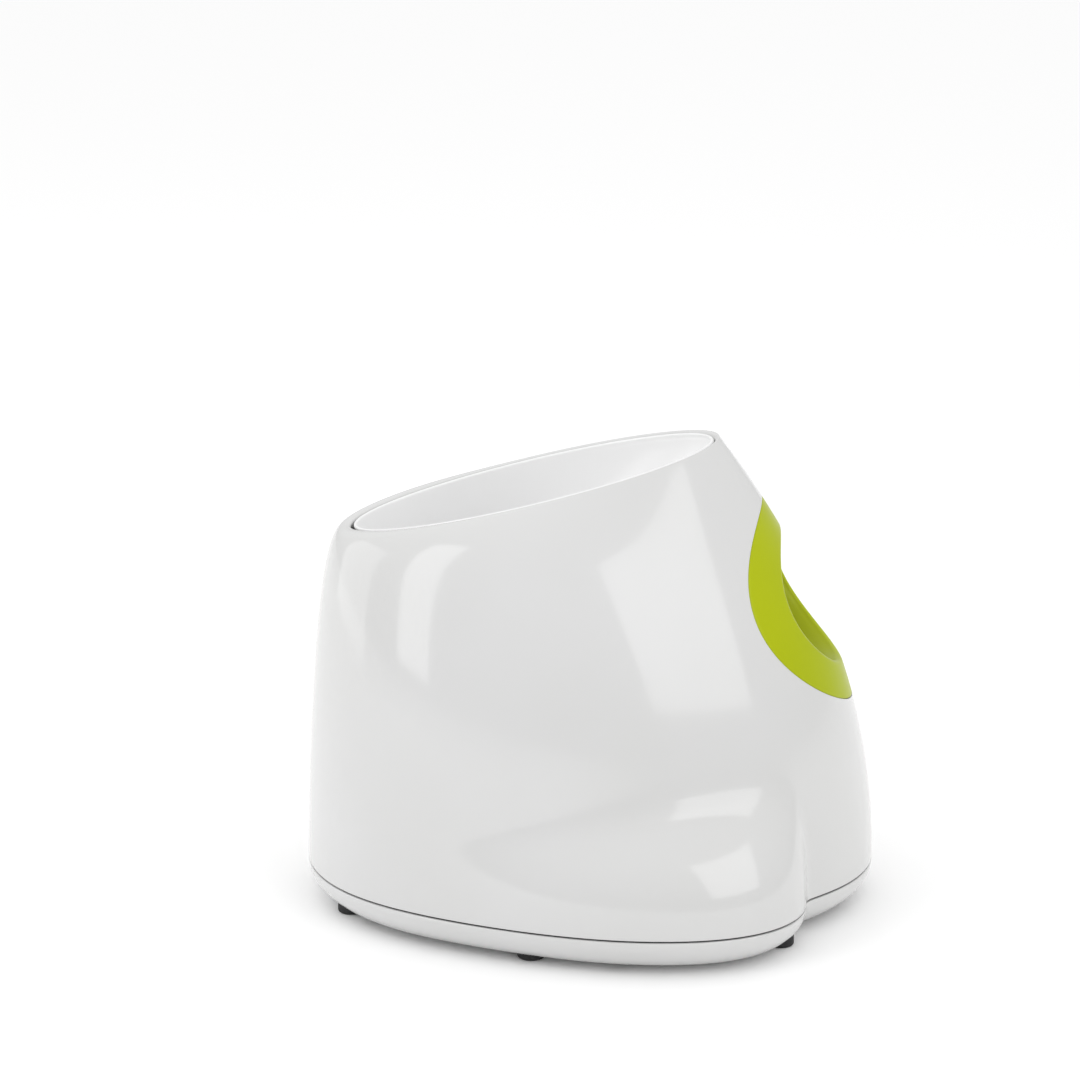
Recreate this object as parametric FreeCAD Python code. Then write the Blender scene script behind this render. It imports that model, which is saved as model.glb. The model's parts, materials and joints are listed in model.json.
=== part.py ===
import FreeCAD, Part
import math
import os

from FreeCAD import Vector

# Automatic dog ball launcher, in millimetres.
# +X is the launch direction, +Z is up, and Y = 0 is the plane of symmetry.
# The origin is on the floor, under the middle of the body.

# Ball and clearances
ball_diameter = 51.0
ball_play = 6.0
part_gap = 0.3
running_gap = 0.05
screw_gap = 0.05

# Outer skin of the body
body_length = 253.5
pole_x = -8.75
body_half_width = 91.0
plan_power = 2.1
seam_z = 18.0
wall = 2.5
skin_columns = 120
skin_rows = 24

# Rim of the hopper mouth
rim_front_x = 55.5
rim_back_x = -107.5
rim_front_z = 209.8
rim_back_z = 169.5
rim_half_width = 43.5
rim_edge = 2.0

# Legs at each side, as angles round the pole from the front
leg_depth = 29.0
leg_notch = math.radians(31.4)
leg_crown = math.radians(68.8)
leg_fade_from = math.radians(24.8)
leg_fade_to = math.radians(150.4)
leg_front_height = 52.0
leg_back_height = 30.0
notch_blend = 3.0
shelf_blend = 0.35

# Launch barrel
barrel_tilt = math.radians(21.0)
muzzle_x = 92.0
muzzle_z = 136.5
tube_wall = 2.5
ring_radius = 49.0
ring_depth = 20.0
ring_face = 3.5
ring_skirt = 3.0
bore_lip_radius = 34.0
bore_flare = 6.5
bore_flare_back = 9.0
bore_flare_front = 4.5
tube_flange_radius = 44.0
tube_flange = 2.5
collar_length = 6.0
ring_screw_bite = 9.0
ring_screw_angles = (90.0, 210.0, 330.0)

# Breech, where a ball waits
breech_back = 37.3
breech_front = 29.7
breech_to_muzzle = 130.7
drop_height = 36.0
sensor_eye_radius = 2.0
sensor_width = 6.0
sensor_length = 10.0
sensor_height = 12.0

# Flywheels and their motors
wheel_to_muzzle = 82.0
wheel_radius = 22.0
wheel_width = 22.0
wheel_squeeze = 2.0
hub_radius = 17.0
hub_boss_radius = 4.5
hub_web = 4.0
hub_hole_radius = 3.0
hub_hole_circle = 9.3
hub_holes = 6
window_gap = 1.3
shaft_radius = 1.6
motor_radius = 13.85
motor_length = 27.0
motor_cap = 2.5
motor_nose_radius = 5.0
motor_nose = 2.0
motor_edge = 1.2
motor_screw_pitch = 17.0
motor_screw_bite = 5.0
shaft_insert = 16.2
terminal = 2.4
terminal_width = 2.4
terminal_thickness = 0.6
terminal_pitch = 16.0

# Drive frame
plate = 3.0
plate_half_width = 67.0
plate_back = 172.0
plate_front = 40.0
cheek = 2.5
cheek_height = 20.0
back_cheek_from = 165.0
back_cheek_to = 112.0
front_cheek_from = 60.0
front_cheek_to = 44.0
pillar_radius = 5.0
pillar_y = 60.0
front_pillar_from_muzzle = 50.0
back_pillar_from_muzzle = 160.0
frame_screw_bite = 10.0

# Feed arm
feed_pivot_s = -146.0
feed_pivot_drop = 13.7
feed_arm_length = 40.0
feed_arm_width = 7.0
feed_arm_thickness = 5.0
feed_hub_radius = 6.0
feed_rest_lean = math.radians(20.0)
feed_shaft_radius = 3.0
feed_slot_gap = 2.0
feed_slot_back = 32.0
feed_slot_front = 36.0
gearbox_width = 20.0
gearbox_length = 24.0
gearbox_edge = 2.0
gearbox_screw_pitch = 16.0
gearbox_screw_bite = 5.0
gearbox_shaft_depth = 14.0
feed_motor_radius = 10.0
feed_motor_length = 26.0
lug = 6.0

# Base tray, feet and battery bay
tray_bottom_z = 4.0
tray_floor = 2.5
tray_taper = 9.0
seam_groove = 0.8
tongue = 2.0
tongue_height = 5.0
foot_radius = 6.0
foot_inset = 1.5
foot_edge = 1.0
foot_pad = 2.0
foot_places = ((-106.0, 31.0), (-25.5, 82.0), (82.0, 67.0))
cell_radius = 13.1
cell_length = 50.0
cell_pitch = 27.0
cell_nub_radius = 3.2
cell_nub = 1.5
cell_lift = 4.4
cell_edge = 0.8
bay_centre_x = 35.0
bay_wall = 2.0
bay_play = 0.5
contact_room = 6.0
contact_thickness = 0.5
contact_side = 12.0
contact_button_radius = 3.5
contact_play = 0.05
spring_wire = 0.5
spring_radius = 4.0
spring_turns = 3
divider = 0.8
divider_length = 16.0
door_lip = 4.0
door_gap = 0.4
door_tab = 3.0
door_tab_width = 12.0
door_tab_y = 32.0
door_tab_thickness = 1.6
door_rib_width = 6.0
door_rib_height = 0.9
door_rib_inset = 6.0
door_corner = 2.0
grip_ridges = 5
grip_pitch = 6.0
grip_width = 2.0
grip_length = 10.0
grip_depth = 0.8
grip_inset = 6.0

# Screws
screw_radius = 1.45
screw_head_radius = 2.9
screw_head = 1.8
boss_radius = 4.0
boss_height = 24.0
rib_thickness = 2.0
base_boss_angles = (12.0, 78.0, 152.0)
base_boss_inset = 14.0

# Rear control panel
panel_y = 17.0
panel_half_width = 20.0
panel_bottom_z = 58.0
panel_top_z = 98.0
panel_corner = 8.0
panel_flange = 3.0
button_radius = 7.0
button_pitch = 19.0
button_z = 72.0
button_proud = 0.5
button_edge = 0.7
button_flange = 1.6
button_flange_thickness = 1.2
button_stem_radius = 2.0
button_travel = 1.0
lamp_radius = 1.8
lamp_z = 88.0
lamp_pitch = 8.0
lamp_proud = 0.2
board_x = -103.0
board = 1.6
board_half_width = 24.0
board_bottom_z = 46.0
board_top_z = 108.0
post_radius = 2.8
post_inset_y = 4.0
post_inset_z = 3.0
board_screw_bite = 7.0
switch_side = 6.2
switch_body = 3.6
switch_plunger_radius = 1.6
switch_plunger = 0.9
lamp_chip_radius = 1.5
lamp_chip = 1.9
chip_width = 14.0
chip_height = 12.0
chip_thickness = 2.2
chip_z = 82.0
capacitor_radius = 5.0
capacitor_length = 12.0
capacitor_y = 15.0
capacitor_z = 52.0
driver_width = 9.0
driver_height = 10.0
driver_thickness = 4.6
driver_y = -10.0
driver_pitch = 11.0
driver_z = 52.0
plug_width = 10.0
plug_height = 6.0
plug_depth = 7.0
plug_pitch = 16.0
plug_z = 102.0
jack_y = 17.0
jack_z = 38.0
jack_hole_radius = 4.2
jack_width = 9.5
jack_length = 13.0
jack_height = 10.5
jack_sleeve = 2.4
jack_bore_radius = 2.8
jack_bore_depth = 7.0
jack_pin_radius = 1.0
jack_pin = 8.0

# Worked out from the sizes above
half_length = body_length / 2
rim_centre_x = (rim_front_x + rim_back_x) / 2
rim_half_length = (rim_front_x - rim_back_x) / 2
rim_slope = (rim_front_z - rim_back_z) / (rim_front_x - rim_back_x)
bore_radius = (ball_diameter + ball_play) / 2
tube_radius = bore_radius + tube_wall
ahead = Vector(math.cos(barrel_tilt), 0, math.sin(barrel_tilt))
above = Vector(-math.sin(barrel_tilt), 0, math.cos(barrel_tilt))
wheel_y = wheel_radius + ball_diameter / 2 - wheel_squeeze
plate_top = -(tube_radius + part_gap)
plate_under = plate_top - plate
feed_pivot_n = plate_under - feed_pivot_drop
tray_floor_z = tray_bottom_z + tray_floor
bay_half_length = cell_length + contact_room / 2
bay_half_width = 1.5 * cell_pitch + bay_play
cell_z = tray_floor_z + cell_lift / 2 + cell_radius
bay_top_z = cell_z + cell_radius + bay_play
door_edge_x = bay_centre_x - bay_half_width + door_lip


def along_barrel(s, n=0.0, y=0.0):
    """A point s ahead of the muzzle centre and n above the barrel's axis."""
    return Vector(muzzle_x, y, muzzle_z) + ahead * s + above * n


def barrel_cylinder(radius, s_from, s_to, n=0.0, y=0.0):
    return Part.makeCylinder(radius, s_to - s_from, along_barrel(s_from, n, y), ahead)


def upright_cylinder(radius, n_from, n_to, s, y=0.0):
    return Part.makeCylinder(radius, n_to - n_from, along_barrel(s, n_from, y), above)


def barrel_box(s_from, s_to, n_from, n_to, y_from, y_to):
    box = Part.makeBox(s_to - s_from, y_to - y_from, n_to - n_from)
    box.rotate(Vector(0, 0, 0), Vector(0, 1, 0), -math.degrees(barrel_tilt))
    box.translate(along_barrel(s_from, n_from, y_from))
    return box


def block(x_from, x_to, y_from, y_to, z_from, z_to):
    return Part.makeBox(x_to - x_from, y_to - y_from, z_to - z_from, Vector(x_from, y_from, z_from))


def pillar(radius, x, y, z_from, z_to):
    return Part.makeCylinder(radius, z_to - z_from, Vector(x, y, z_from))


def fused(pieces):
    return pieces[0].fuse(pieces[1:]).removeSplitter()


def closed_curve(points):
    """One smooth closed wire through the points."""
    count = len(points)
    curve = Part.BSplineCurve()
    stops = [index / count for index in range(count + 1)]
    curve.interpolate(Points=points, PeriodicFlag=True, Parameters=stops)
    return Part.Wire(curve.toShape())


def around(turn, front, side, back):
    """A value that passes smoothly from the front, past the side, to the back."""
    c = math.cos(turn)
    return (front + back) / 2 * c * c + side * (1 - c * c) + (front - back) / 2 * c


def eased(share):
    share = min(max(share, 0.0), 1.0)
    return share ** 3 * (10 - 15 * share + 6 * share * share)


def oval_radius(turn, reach, half_width, power):
    return (abs(math.cos(turn) / reach) ** power + abs(math.sin(turn) / half_width) ** power) ** (-1 / power)


def leg_reach(turn):
    """How far the leg stands out from the body at the seam."""
    rise = min((turn - leg_notch) / (leg_crown - leg_notch), 1.0)
    full = leg_depth * (1 - (1 - rise) ** 3)
    soft = (full + math.sqrt(full * full + notch_blend ** 2)) / 2
    return soft * (1 - eased((turn - leg_fade_from) / (leg_fade_to - leg_fade_from)))


def shelf(height_share):
    """1 at the seam, falling to 0 where the leg's top meets the body."""
    q = 1 - max(height_share, 0.0) ** 2.5
    top = (1 + math.sqrt(1 + shelf_blend ** 2)) / 2
    return (q + math.sqrt(q * q + shelf_blend ** 2)) / 2 / top


def skin_point(angle, level, inset):
    """A point of the skin: angle from the front, level 0 at the seam and 1 at the rim."""
    turn = abs(angle)
    side = -1 if angle > 0 else 1
    rise = max(level, 0.0)
    share = (1 - rise ** around(turn, 2.04, 2.21, 1.46)) ** around(turn, 1.0, 0.69, 0.38)
    reach = half_length - pole_x * math.cos(turn)
    seam_radius = oval_radius(turn, reach, body_half_width, plan_power) - inset
    rim_radius = oval_radius(turn, rim_half_length, rim_half_width, 2.0) - inset
    radius = rim_radius + (seam_radius - rim_radius) * share
    centre_x = rim_centre_x + (pole_x - rim_centre_x) * share
    rim_x = rim_centre_x + rim_radius * math.cos(turn)
    rim_z = rim_back_z + (rim_x - rim_back_x) * rim_slope - inset
    climb = rim_z - seam_z if level > 0 else rim_back_z - seam_z
    z = seam_z + climb * level
    leg_middle = (leg_front_height + leg_back_height) / 2
    leg_height = around(turn, leg_front_height, leg_middle, leg_back_height) - inset
    leg = leg_reach(turn) * shelf((z - seam_z) / leg_height) * (1 - rise ** 4)
    out = radius + leg
    return Vector(centre_x + out * math.cos(turn), side * out * math.sin(turn), z)


def section_curve(level, inset):
    """The skin's closed section at a level, as one periodic curve."""
    points = [skin_point(-math.pi + 2 * math.pi * index / skin_columns, level, inset)
              for index in range(skin_columns)]
    curve = Part.BSplineCurve()
    stops = [index / skin_columns for index in range(skin_columns + 1)]
    curve.interpolate(Points=points, PeriodicFlag=True, Parameters=stops)
    return curve


def skin_solid(inset, below=0.0):
    """The body's filled form, inset from the outer skin, from below the seam to the rim."""
    stops = [row / skin_rows for row in range(skin_rows + 1)]
    levels = [1 - (1 - stop) ** 2.2 for stop in stops]
    if below:
        stops.insert(0, -0.6 / skin_rows)
        levels.insert(0, -below / (rim_back_z - seam_z))
    rows = [section_curve(level, inset) for level in levels]
    columns = []
    for index in range(rows[0].NbPoles):
        column = Part.BSplineCurve()
        column.interpolate(Points=[row.getPole(index + 1) for row in rows], Parameters=stops)
        columns.append(column)
    poles = [[column.getPole(index + 1) for index in range(column.NbPoles)] for column in columns]
    surface = Part.BSplineSurface()
    surface.buildFromPolesMultsKnots(poles, rows[0].getMultiplicities(), columns[0].getMultiplicities(),
                                     rows[0].getKnots(), columns[0].getKnots(), True, False,
                                     rows[0].Degree, columns[0].Degree)
    faces = [surface.toShape()]
    for row in (rows[0], rows[-1]):
        faces.append(Part.Face(Part.Wire(row.toShape())))
    shell = Part.makeShell(faces)
    shell.sewShape(0.001)
    solid = Part.Solid(shell)
    if solid.Volume < 0:
        solid.reverse()
    return solid


def outline(inset, z):
    """The body's outline at the seam, inset and moved to height z."""
    wire = Part.Wire(section_curve(0.0, inset).toShape())
    wire.translate(Vector(0, 0, z - seam_z))
    return wire


def prism(inset, z_from, z_to):
    face = Part.Face(outline(inset, z_from))
    return face.extrude(Vector(0, 0, z_to - z_from))


def screw(tip, head_seat):
    """A pan-head screw with its tip and the underside of its head at the two points."""
    way = head_seat - tip
    length = way.Length
    way.normalize()
    shank = Part.makeCylinder(screw_radius, length, tip, way)
    head = Part.makeCylinder(screw_head_radius, screw_head, head_seat, way)
    top = head.Edges[0]
    for edge in head.Edges:
        middle = (edge.CenterOfMass - head_seat).dot(way)
        if middle > screw_head * 0.9:
            top = edge
    head = head.makeFillet(screw_head * 0.45, [top])
    socket = Part.makeCylinder(screw_head_radius * 0.4, screw_head, head_seat + way * screw_head * 0.4, way)
    return shank.fuse(head).cut(socket)


def spring(radius, wire, turns, height, foot, way):
    """A compression spring that stands on its foot point and rises along way."""
    pitch = (height - 2 * wire) / turns
    helix = Part.makeHelix(pitch, pitch * turns, radius)
    circle = Part.Circle(Vector(radius, 0, 0), Vector(0, 1, 0), wire / 2)
    profile = Part.Wire(circle.toShape())
    coil = Part.Wire(helix).makePipeShell([profile], True, True)
    coil.translate(Vector(0, 0, wire))
    turn = FreeCAD.Rotation(Vector(0, 0, 1), way)
    coil.Placement = FreeCAD.Placement(foot, turn).multiply(coil.Placement)
    return coil


def base_boss_places():
    """Where the screws that join the tray to the housing stand."""
    places = []
    for degrees in base_boss_angles:
        p = skin_point(math.radians(degrees), 0.0, base_boss_inset)
        places.append((p.x, p.y))
        places.append((p.x, -p.y))
    return places


def frame_pillar_places():
    """Where the four pillars that carry the drive frame stand, with their heights."""
    places = []
    for from_muzzle in (front_pillar_from_muzzle, back_pillar_from_muzzle):
        p = along_barrel(-from_muzzle, plate_under)
        places.append((p.x, pillar_y, p.z))
        places.append((p.x, -pillar_y, p.z))
    return places


def panel_prism(growth, x_from, x_to):
    """The control panel's rounded rectangle, grown on each side, as a block along X."""
    corner = panel_corner + growth
    half = panel_half_width + growth
    body = block(x_from, x_to, panel_y - half, panel_y + half, panel_bottom_z - growth, panel_top_z + growth)
    long_edges = [e for e in body.Edges if abs(e.tangentAt(e.FirstParameter).x) > 0.9]
    return body.makeFillet(corner, long_edges)


def upper_housing(outer):
    bottom_z = seam_z
    shell = outer.cut(skin_solid(wall, wall))
    mouth = rim_cylinder(rim_edge, rim_back_z / 2, rim_front_z + wall)
    hole = barrel_cylinder(ring_radius + part_gap, -ring_depth - tube_flange, ring_depth)
    panel_hole = panel_prism(part_gap, -half_length - wall, board_x)
    jack_hole = Part.makeCylinder(jack_hole_radius, jack_length + wall, Vector(-half_length - wall, jack_y, jack_z),
                                  Vector(1, 0, 0))
    shell = shell.cut([mouth, hole, panel_hole, jack_hole])
    boss_z = bottom_z + tongue_height + part_gap
    for x, y in base_boss_places():
        boss = pillar(boss_radius, x, y, boss_z, boss_z + boss_height)
        outward = Vector(x - pole_x, y, 0)
        rib = block(x, x + base_boss_inset + 4 * wall, y - rib_thickness / 2, y + rib_thickness / 2, boss_z + 0.5,
                    boss_z + boss_height * 0.7)
        rib.rotate(Vector(x, y, 0), Vector(0, 0, 1), math.degrees(math.atan2(outward.y, outward.x)))
        shell = shell.fuse(boss.fuse(rib).common(outer))
    holes = [pillar(screw_radius + screw_gap, x, y, boss_z, boss_z + boss_height * 0.8)
             for x, y in base_boss_places()]
    return shell.cut(holes)


def rim_cylinder(inset, z_from, z_to):
    """The mouth's oval as an upright prism."""
    ellipse = Part.Ellipse(Vector(rim_centre_x, 0, z_from), rim_half_length - inset, rim_half_width - inset)
    return Part.Face(Part.Wire(ellipse.toShape())).extrude(Vector(0, 0, z_to - z_from))


def hopper_form(inset, lift):
    """The funnel from the mouth's oval to the round throat, inset and lifted for its inside."""
    front = along_barrel(0)
    rim_front = Vector(rim_front_x, 0, rim_front_z) - front
    rim_back = Vector(rim_back_x, 0, rim_back_z) - front
    s_front, n_front = rim_front.dot(ahead), rim_front.dot(above)
    s_back, n_back = rim_back.dot(ahead), rim_back.dot(above)
    slope = (n_front - n_back) / (s_front - s_back)
    half_s = (s_front - s_back) / 2 - wall - 2 * part_gap
    half_y = rim_half_width - wall - 2 * part_gap
    throat = tube_radius
    throat_n = drop_height + part_gap + tube_wall
    wires = []
    for step in range(9):
        t = step / 8
        spread = 1 - t ** 1.9
        centre_s = -breech_to_muzzle + ((s_front + s_back) / 2 + breech_to_muzzle) * spread
        centre_n = throat_n + ((n_front + n_back) / 2 - part_gap * 4 - throat_n) * (1 - t) + lift
        reach_s = throat + (half_s - throat) * spread - inset
        reach_y = throat + (half_y - throat) * spread - inset
        points = []
        for index in range(36):
            angle = 2 * math.pi * index / 36
            ds = reach_s * math.cos(angle)
            points.append(along_barrel(centre_s + ds, centre_n + slope * (1 - t) * ds,
                                       reach_y * math.sin(angle)))
        wires.append(closed_curve(points))
    return Part.makeLoft(wires, True, False)


def hopper():
    thickness = tube_wall
    bowl = hopper_form(0, 0).cut(hopper_form(thickness * 0.6, thickness * 0.8))
    throat_n = drop_height + part_gap + tube_wall
    s = -breech_to_muzzle
    bore = upright_cylinder(bore_radius, 0, throat_n + 2 * thickness, s)
    neck = upright_cylinder(tube_radius + tube_wall, tube_radius + part_gap, throat_n + thickness, s)
    socket = upright_cylinder(tube_radius + running_gap, 0, drop_height + part_gap, s)
    inside = hopper_form(thickness * 0.6, thickness * 0.8)
    neck = neck.cut([bore, socket, inside])
    return fused([bowl.cut(bore), neck])


def breech():
    s_back = -breech_to_muzzle - breech_back
    s_front = -breech_to_muzzle + breech_front
    s = -breech_to_muzzle
    outside = barrel_cylinder(tube_radius, s_back, s_front)
    drop = upright_cylinder(tube_radius, 0, drop_height, s)
    inside = barrel_cylinder(bore_radius, s_back + tube_wall, s_front + 1)
    drop_hole = upright_cylinder(bore_radius, 0, drop_height + 1, s)
    body = fused([outside, drop]).cut([inside, drop_hole])
    slot_half = feed_arm_width / 2 + feed_slot_gap
    slot = barrel_box(s_back + tube_wall, s_front - 2 * collar_length, -tube_radius - 1, 0,
                      -slot_half, slot_half)
    eyes = Part.makeCylinder(sensor_eye_radius, 2 * tube_radius + 2, along_barrel(s, 0, -tube_radius - 1),
                             Vector(0, 1, 0))
    return body.cut([slot, eyes])


def launch_tube():
    s_back = -breech_to_muzzle + breech_front + part_gap
    tube = barrel_cylinder(tube_radius, s_back, -ring_depth)
    collar = barrel_cylinder(tube_radius + tube_wall, s_back - collar_length, s_back + collar_length)
    collar = collar.cut(barrel_box(s_back - collar_length - 1, s_back + collar_length + 1,
                                   -2 * tube_radius, plate_top + part_gap, -tube_radius, tube_radius))
    flange = barrel_cylinder(tube_flange_radius, -ring_depth - tube_flange, -ring_depth)
    socket = barrel_cylinder(tube_radius + running_gap, s_back - collar_length - 1, s_back)
    bore = barrel_cylinder(bore_radius, s_back - 1, 1)
    tube = fused([tube, collar, flange]).cut([socket, bore])
    cuts = [upright_cylinder(tube_radius + tube_wall + part_gap, 0, 2 * tube_radius, -breech_to_muzzle)]
    for side in (-1, 1):
        half = wheel_width / 2 + window_gap
        cuts.append(upright_cylinder(wheel_radius + window_gap, -half, half, -wheel_to_muzzle, side * wheel_y))
    for angle in ring_screw_angles:
        cuts.append(barrel_cylinder(screw_radius + screw_gap, -ring_depth - tube_flange - 1, 0,
                                    *ring_screw_place(angle)))
    return tube.cut(cuts)


def ring_screw_place(degrees):
    middle = (ring_radius - ring_skirt + bore_lip_radius) / 2
    angle = math.radians(degrees)
    return middle * math.sin(angle), middle * math.cos(angle)


def muzzle_ring(outer):
    body = outer.common(barrel_cylinder(ring_radius, -ring_depth, ring_depth))
    hollow = barrel_cylinder(ring_radius - ring_skirt, -ring_depth - 1, ring_depth)
    hollow = hollow.cut(barrel_cylinder(bore_lip_radius, -ring_depth - 2, ring_depth + 1))
    hollow = hollow.common(skin_solid(ring_face, wall))
    behind_face = skin_solid(ring_face / 2, wall)
    bosses = []
    for angle in ring_screw_angles:
        n, y = ring_screw_place(angle)
        bosses.append(barrel_cylinder(boss_radius, -ring_depth, ring_depth, n, y).common(behind_face))
    holes = []
    for angle in ring_screw_angles:
        n, y = ring_screw_place(angle)
        holes.append(barrel_cylinder(screw_radius + screw_gap, -ring_depth - 1, 1 - ring_depth + ring_screw_bite,
                                     n, y))
    return fused([body.cut(hollow)] + bosses).cut(holes + [muzzle_bore()])


def muzzle_bore():
    """The bore as a solid, straight behind and flared towards the muzzle."""
    flare = [along_barrel(-ring_depth, bore_radius)]
    for step in range(5):
        share = step / 4
        s = -bore_flare_back + (bore_flare_back + bore_flare_front) * share
        flare.append(along_barrel(s, bore_radius + bore_flare * share ** 2.6))
    curve = Part.BSplineCurve()
    curve.interpolate(flare)
    behind = -ring_depth - 1
    ahead_of_body = bore_flare_front + ring_radius
    wide = bore_radius + bore_flare
    corners = [flare[-1], along_barrel(ahead_of_body, wide), along_barrel(ahead_of_body, 0), along_barrel(behind, 0),
               along_barrel(behind, bore_radius), flare[0]]
    edges = [curve.toShape()]
    for start, end in zip(corners, corners[1:]):
        edges.append(Part.makeLine(start, end))
    return Part.Face(Part.Wire(edges)).revolve(along_barrel(0), ahead, 360)


def flywheel_parts(side):
    """Hub, tyre and shaft of one flywheel."""
    y = side * wheel_y
    s = -wheel_to_muzzle
    half = wheel_width / 2
    axis = along_barrel(s, 0, y)
    groove = wheel_squeeze / 2
    tyre_face = [along_barrel(s + hub_radius, -half, y), along_barrel(s + wheel_radius, -half, y),
                 along_barrel(s + wheel_radius - groove, 0, y), along_barrel(s + wheel_radius, half, y),
                 along_barrel(s + hub_radius, half, y)]
    arc = Part.Arc(tyre_face[1], tyre_face[2], tyre_face[3]).toShape()
    edges = [Part.makeLine(tyre_face[0], tyre_face[1]), arc, Part.makeLine(tyre_face[3], tyre_face[4]),
             Part.makeLine(tyre_face[4], tyre_face[0])]
    tyre = Part.Face(Part.Wire(edges)).revolve(axis, above, 360)
    drum = upright_cylinder(hub_radius, -half, half, s, y)
    recess = upright_cylinder(hub_radius - tube_wall, hub_web / 2, half + 1, s, y)
    recess = recess.cut(upright_cylinder(hub_boss_radius, 0, half + 1, s, y))
    under = upright_cylinder(hub_radius - tube_wall, -half - 1, -hub_web / 2, s, y)
    boss = upright_cylinder(hub_boss_radius, plate_top + 3 * motor_nose / 2, -1, s, y)
    hub = fused([drum.cut([recess, under]), boss])
    spokes = []
    for turn in range(hub_holes):
        hole = upright_cylinder(hub_hole_radius, -hub_web, hub_web, s + hub_hole_circle, y)
        hole.rotate(axis, above, 360 * turn / hub_holes)
        spokes.append(hole)
    shaft_bottom = plate_under - shaft_insert
    shaft = upright_cylinder(shaft_radius, shaft_bottom, half - 1, s, y)
    hub = hub.cut(spokes + [shaft])
    return hub, tyre, shaft


def motor(side):
    """The motor's steel can with its nose in the plate."""
    y = side * wheel_y
    s = -wheel_to_muzzle
    can = upright_cylinder(motor_radius, plate_under - motor_length, plate_under, s, y)
    bottom = [e for e in can.Edges if e.CenterOfMass.z < along_barrel(s, plate_under - motor_length / 2).z]
    can = can.makeFillet(motor_edge, [e for e in bottom if e.Closed])
    nose = upright_cylinder(motor_nose_radius, plate_under, plate_under + motor_nose, s, y)
    bore = upright_cylinder(shaft_radius + running_gap, plate_under - shaft_insert - part_gap,
                            plate_under + motor_nose + 1, s, y)
    holes = [upright_cylinder(screw_radius + screw_gap, plate_under - motor_screw_bite - 1, plate_under + 1,
                              s + side_way * motor_screw_pitch / 2, y) for side_way in (-1, 1)]
    return can.fuse(nose).cut([bore] + holes)


def motor_caps():
    pieces = []
    for side in (-1, 1):
        y = side * wheel_y
        s = -wheel_to_muzzle
        top = plate_under - motor_length
        cap = upright_cylinder(motor_radius - 1.5, top - motor_cap, top, s, y)
        for d in (-terminal_pitch / 2, terminal_pitch / 2):
            half = terminal_thickness / 2
            cap = cap.fuse(barrel_box(s + d - half, s + d + half, top - motor_cap - terminal, top - motor_cap,
                                      y - terminal_width / 2, y + terminal_width / 2))
        pieces.append(cap)
    return Part.makeCompound(pieces)


def drive_frame():
    body = barrel_box(-plate_back, -plate_front, plate_under, plate_top, -plate_half_width, plate_half_width)
    upright_edges = [e for e in body.Edges
                     if abs(e.tangentAt(e.FirstParameter).dot(above)) > 0.9]
    body = body.makeFillet(pillar_radius, upright_edges)
    inner = tube_radius + part_gap
    cheeks = []
    for s_from, s_to in ((-back_cheek_from, -back_cheek_to), (-front_cheek_from, -front_cheek_to)):
        for side in (-1, 1):
            y_low = min(side * inner, side * (inner + cheek))
            cheeks.append(barrel_box(s_from, s_to, plate_top, plate_top + cheek_height, y_low, y_low + cheek))
    lug_top = barrel_box(feed_pivot_s - feed_hub_radius, feed_pivot_s + feed_hub_radius, feed_pivot_n,
                         plate_under, -feed_arm_width - lug, -feed_arm_width)
    lug_eye = Part.makeCylinder(feed_hub_radius, lug, along_barrel(feed_pivot_s, feed_pivot_n,
                                                                  -feed_arm_width - lug), Vector(0, 1, 0))
    body = fused([body] + cheeks + [lug_top, lug_eye])
    cuts = []
    slot_half = feed_arm_width / 2 + feed_slot_gap
    cuts.append(barrel_box(feed_pivot_s - feed_slot_back, feed_pivot_s + feed_slot_front, plate_under - 1,
                           plate_top + 1, -slot_half, slot_half))
    cuts.append(Part.makeCylinder(feed_shaft_radius + running_gap, 3 * lug,
                                  along_barrel(feed_pivot_s, feed_pivot_n, -feed_arm_width - 2 * lug),
                                  Vector(0, 1, 0)))
    for side in (-1, 1):
        y = side * wheel_y
        cuts.append(upright_cylinder(motor_nose_radius + running_gap, plate_under - 1, plate_top + 1,
                                     -wheel_to_muzzle, y))
        for d in (-motor_screw_pitch / 2, motor_screw_pitch / 2):
            cuts.append(upright_cylinder(screw_radius + screw_gap, plate_under - 1, plate_top + 1,
                                         -wheel_to_muzzle + d, y))
        for from_muzzle in (front_pillar_from_muzzle, back_pillar_from_muzzle):
            cuts.append(upright_cylinder(screw_radius + screw_gap, plate_under - 1, plate_top + 1,
                                         -from_muzzle, side * pillar_y))
    for d in (-gearbox_screw_pitch / 2, gearbox_screw_pitch / 2):
        cuts.append(upright_cylinder(screw_radius + screw_gap, plate_under - 1, plate_top + 1,
                                     feed_pivot_s + d, feed_arm_width + gearbox_width / 2))
    return body.cut(cuts)


def feed_arm():
    pivot = along_barrel(feed_pivot_s, feed_pivot_n)
    half = feed_arm_width / 2
    hub = Part.makeCylinder(feed_hub_radius, feed_arm_width, pivot + Vector(0, -half, 0), Vector(0, 1, 0))
    arm = barrel_box(feed_pivot_s - feed_arm_thickness / 2, feed_pivot_s + feed_arm_thickness / 2,
                     feed_pivot_n, feed_pivot_n + feed_arm_length, -half, half)
    tip = along_barrel(feed_pivot_s, feed_pivot_n + feed_arm_length)
    pad = Part.makeCylinder(feed_arm_thickness * 0.9, feed_arm_width, tip + Vector(0, -half, 0), Vector(0, 1, 0))
    whole = fused([hub, arm, pad])
    whole.rotate(pivot, Vector(0, 1, 0), -math.degrees(feed_rest_lean))
    return whole.cut(feed_shaft())


def feed_shaft():
    start = -feed_arm_width - lug
    end = feed_arm_width + gearbox_shaft_depth
    return Part.makeCylinder(feed_shaft_radius, end - start, along_barrel(feed_pivot_s, feed_pivot_n, start),
                             Vector(0, 1, 0))


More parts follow.
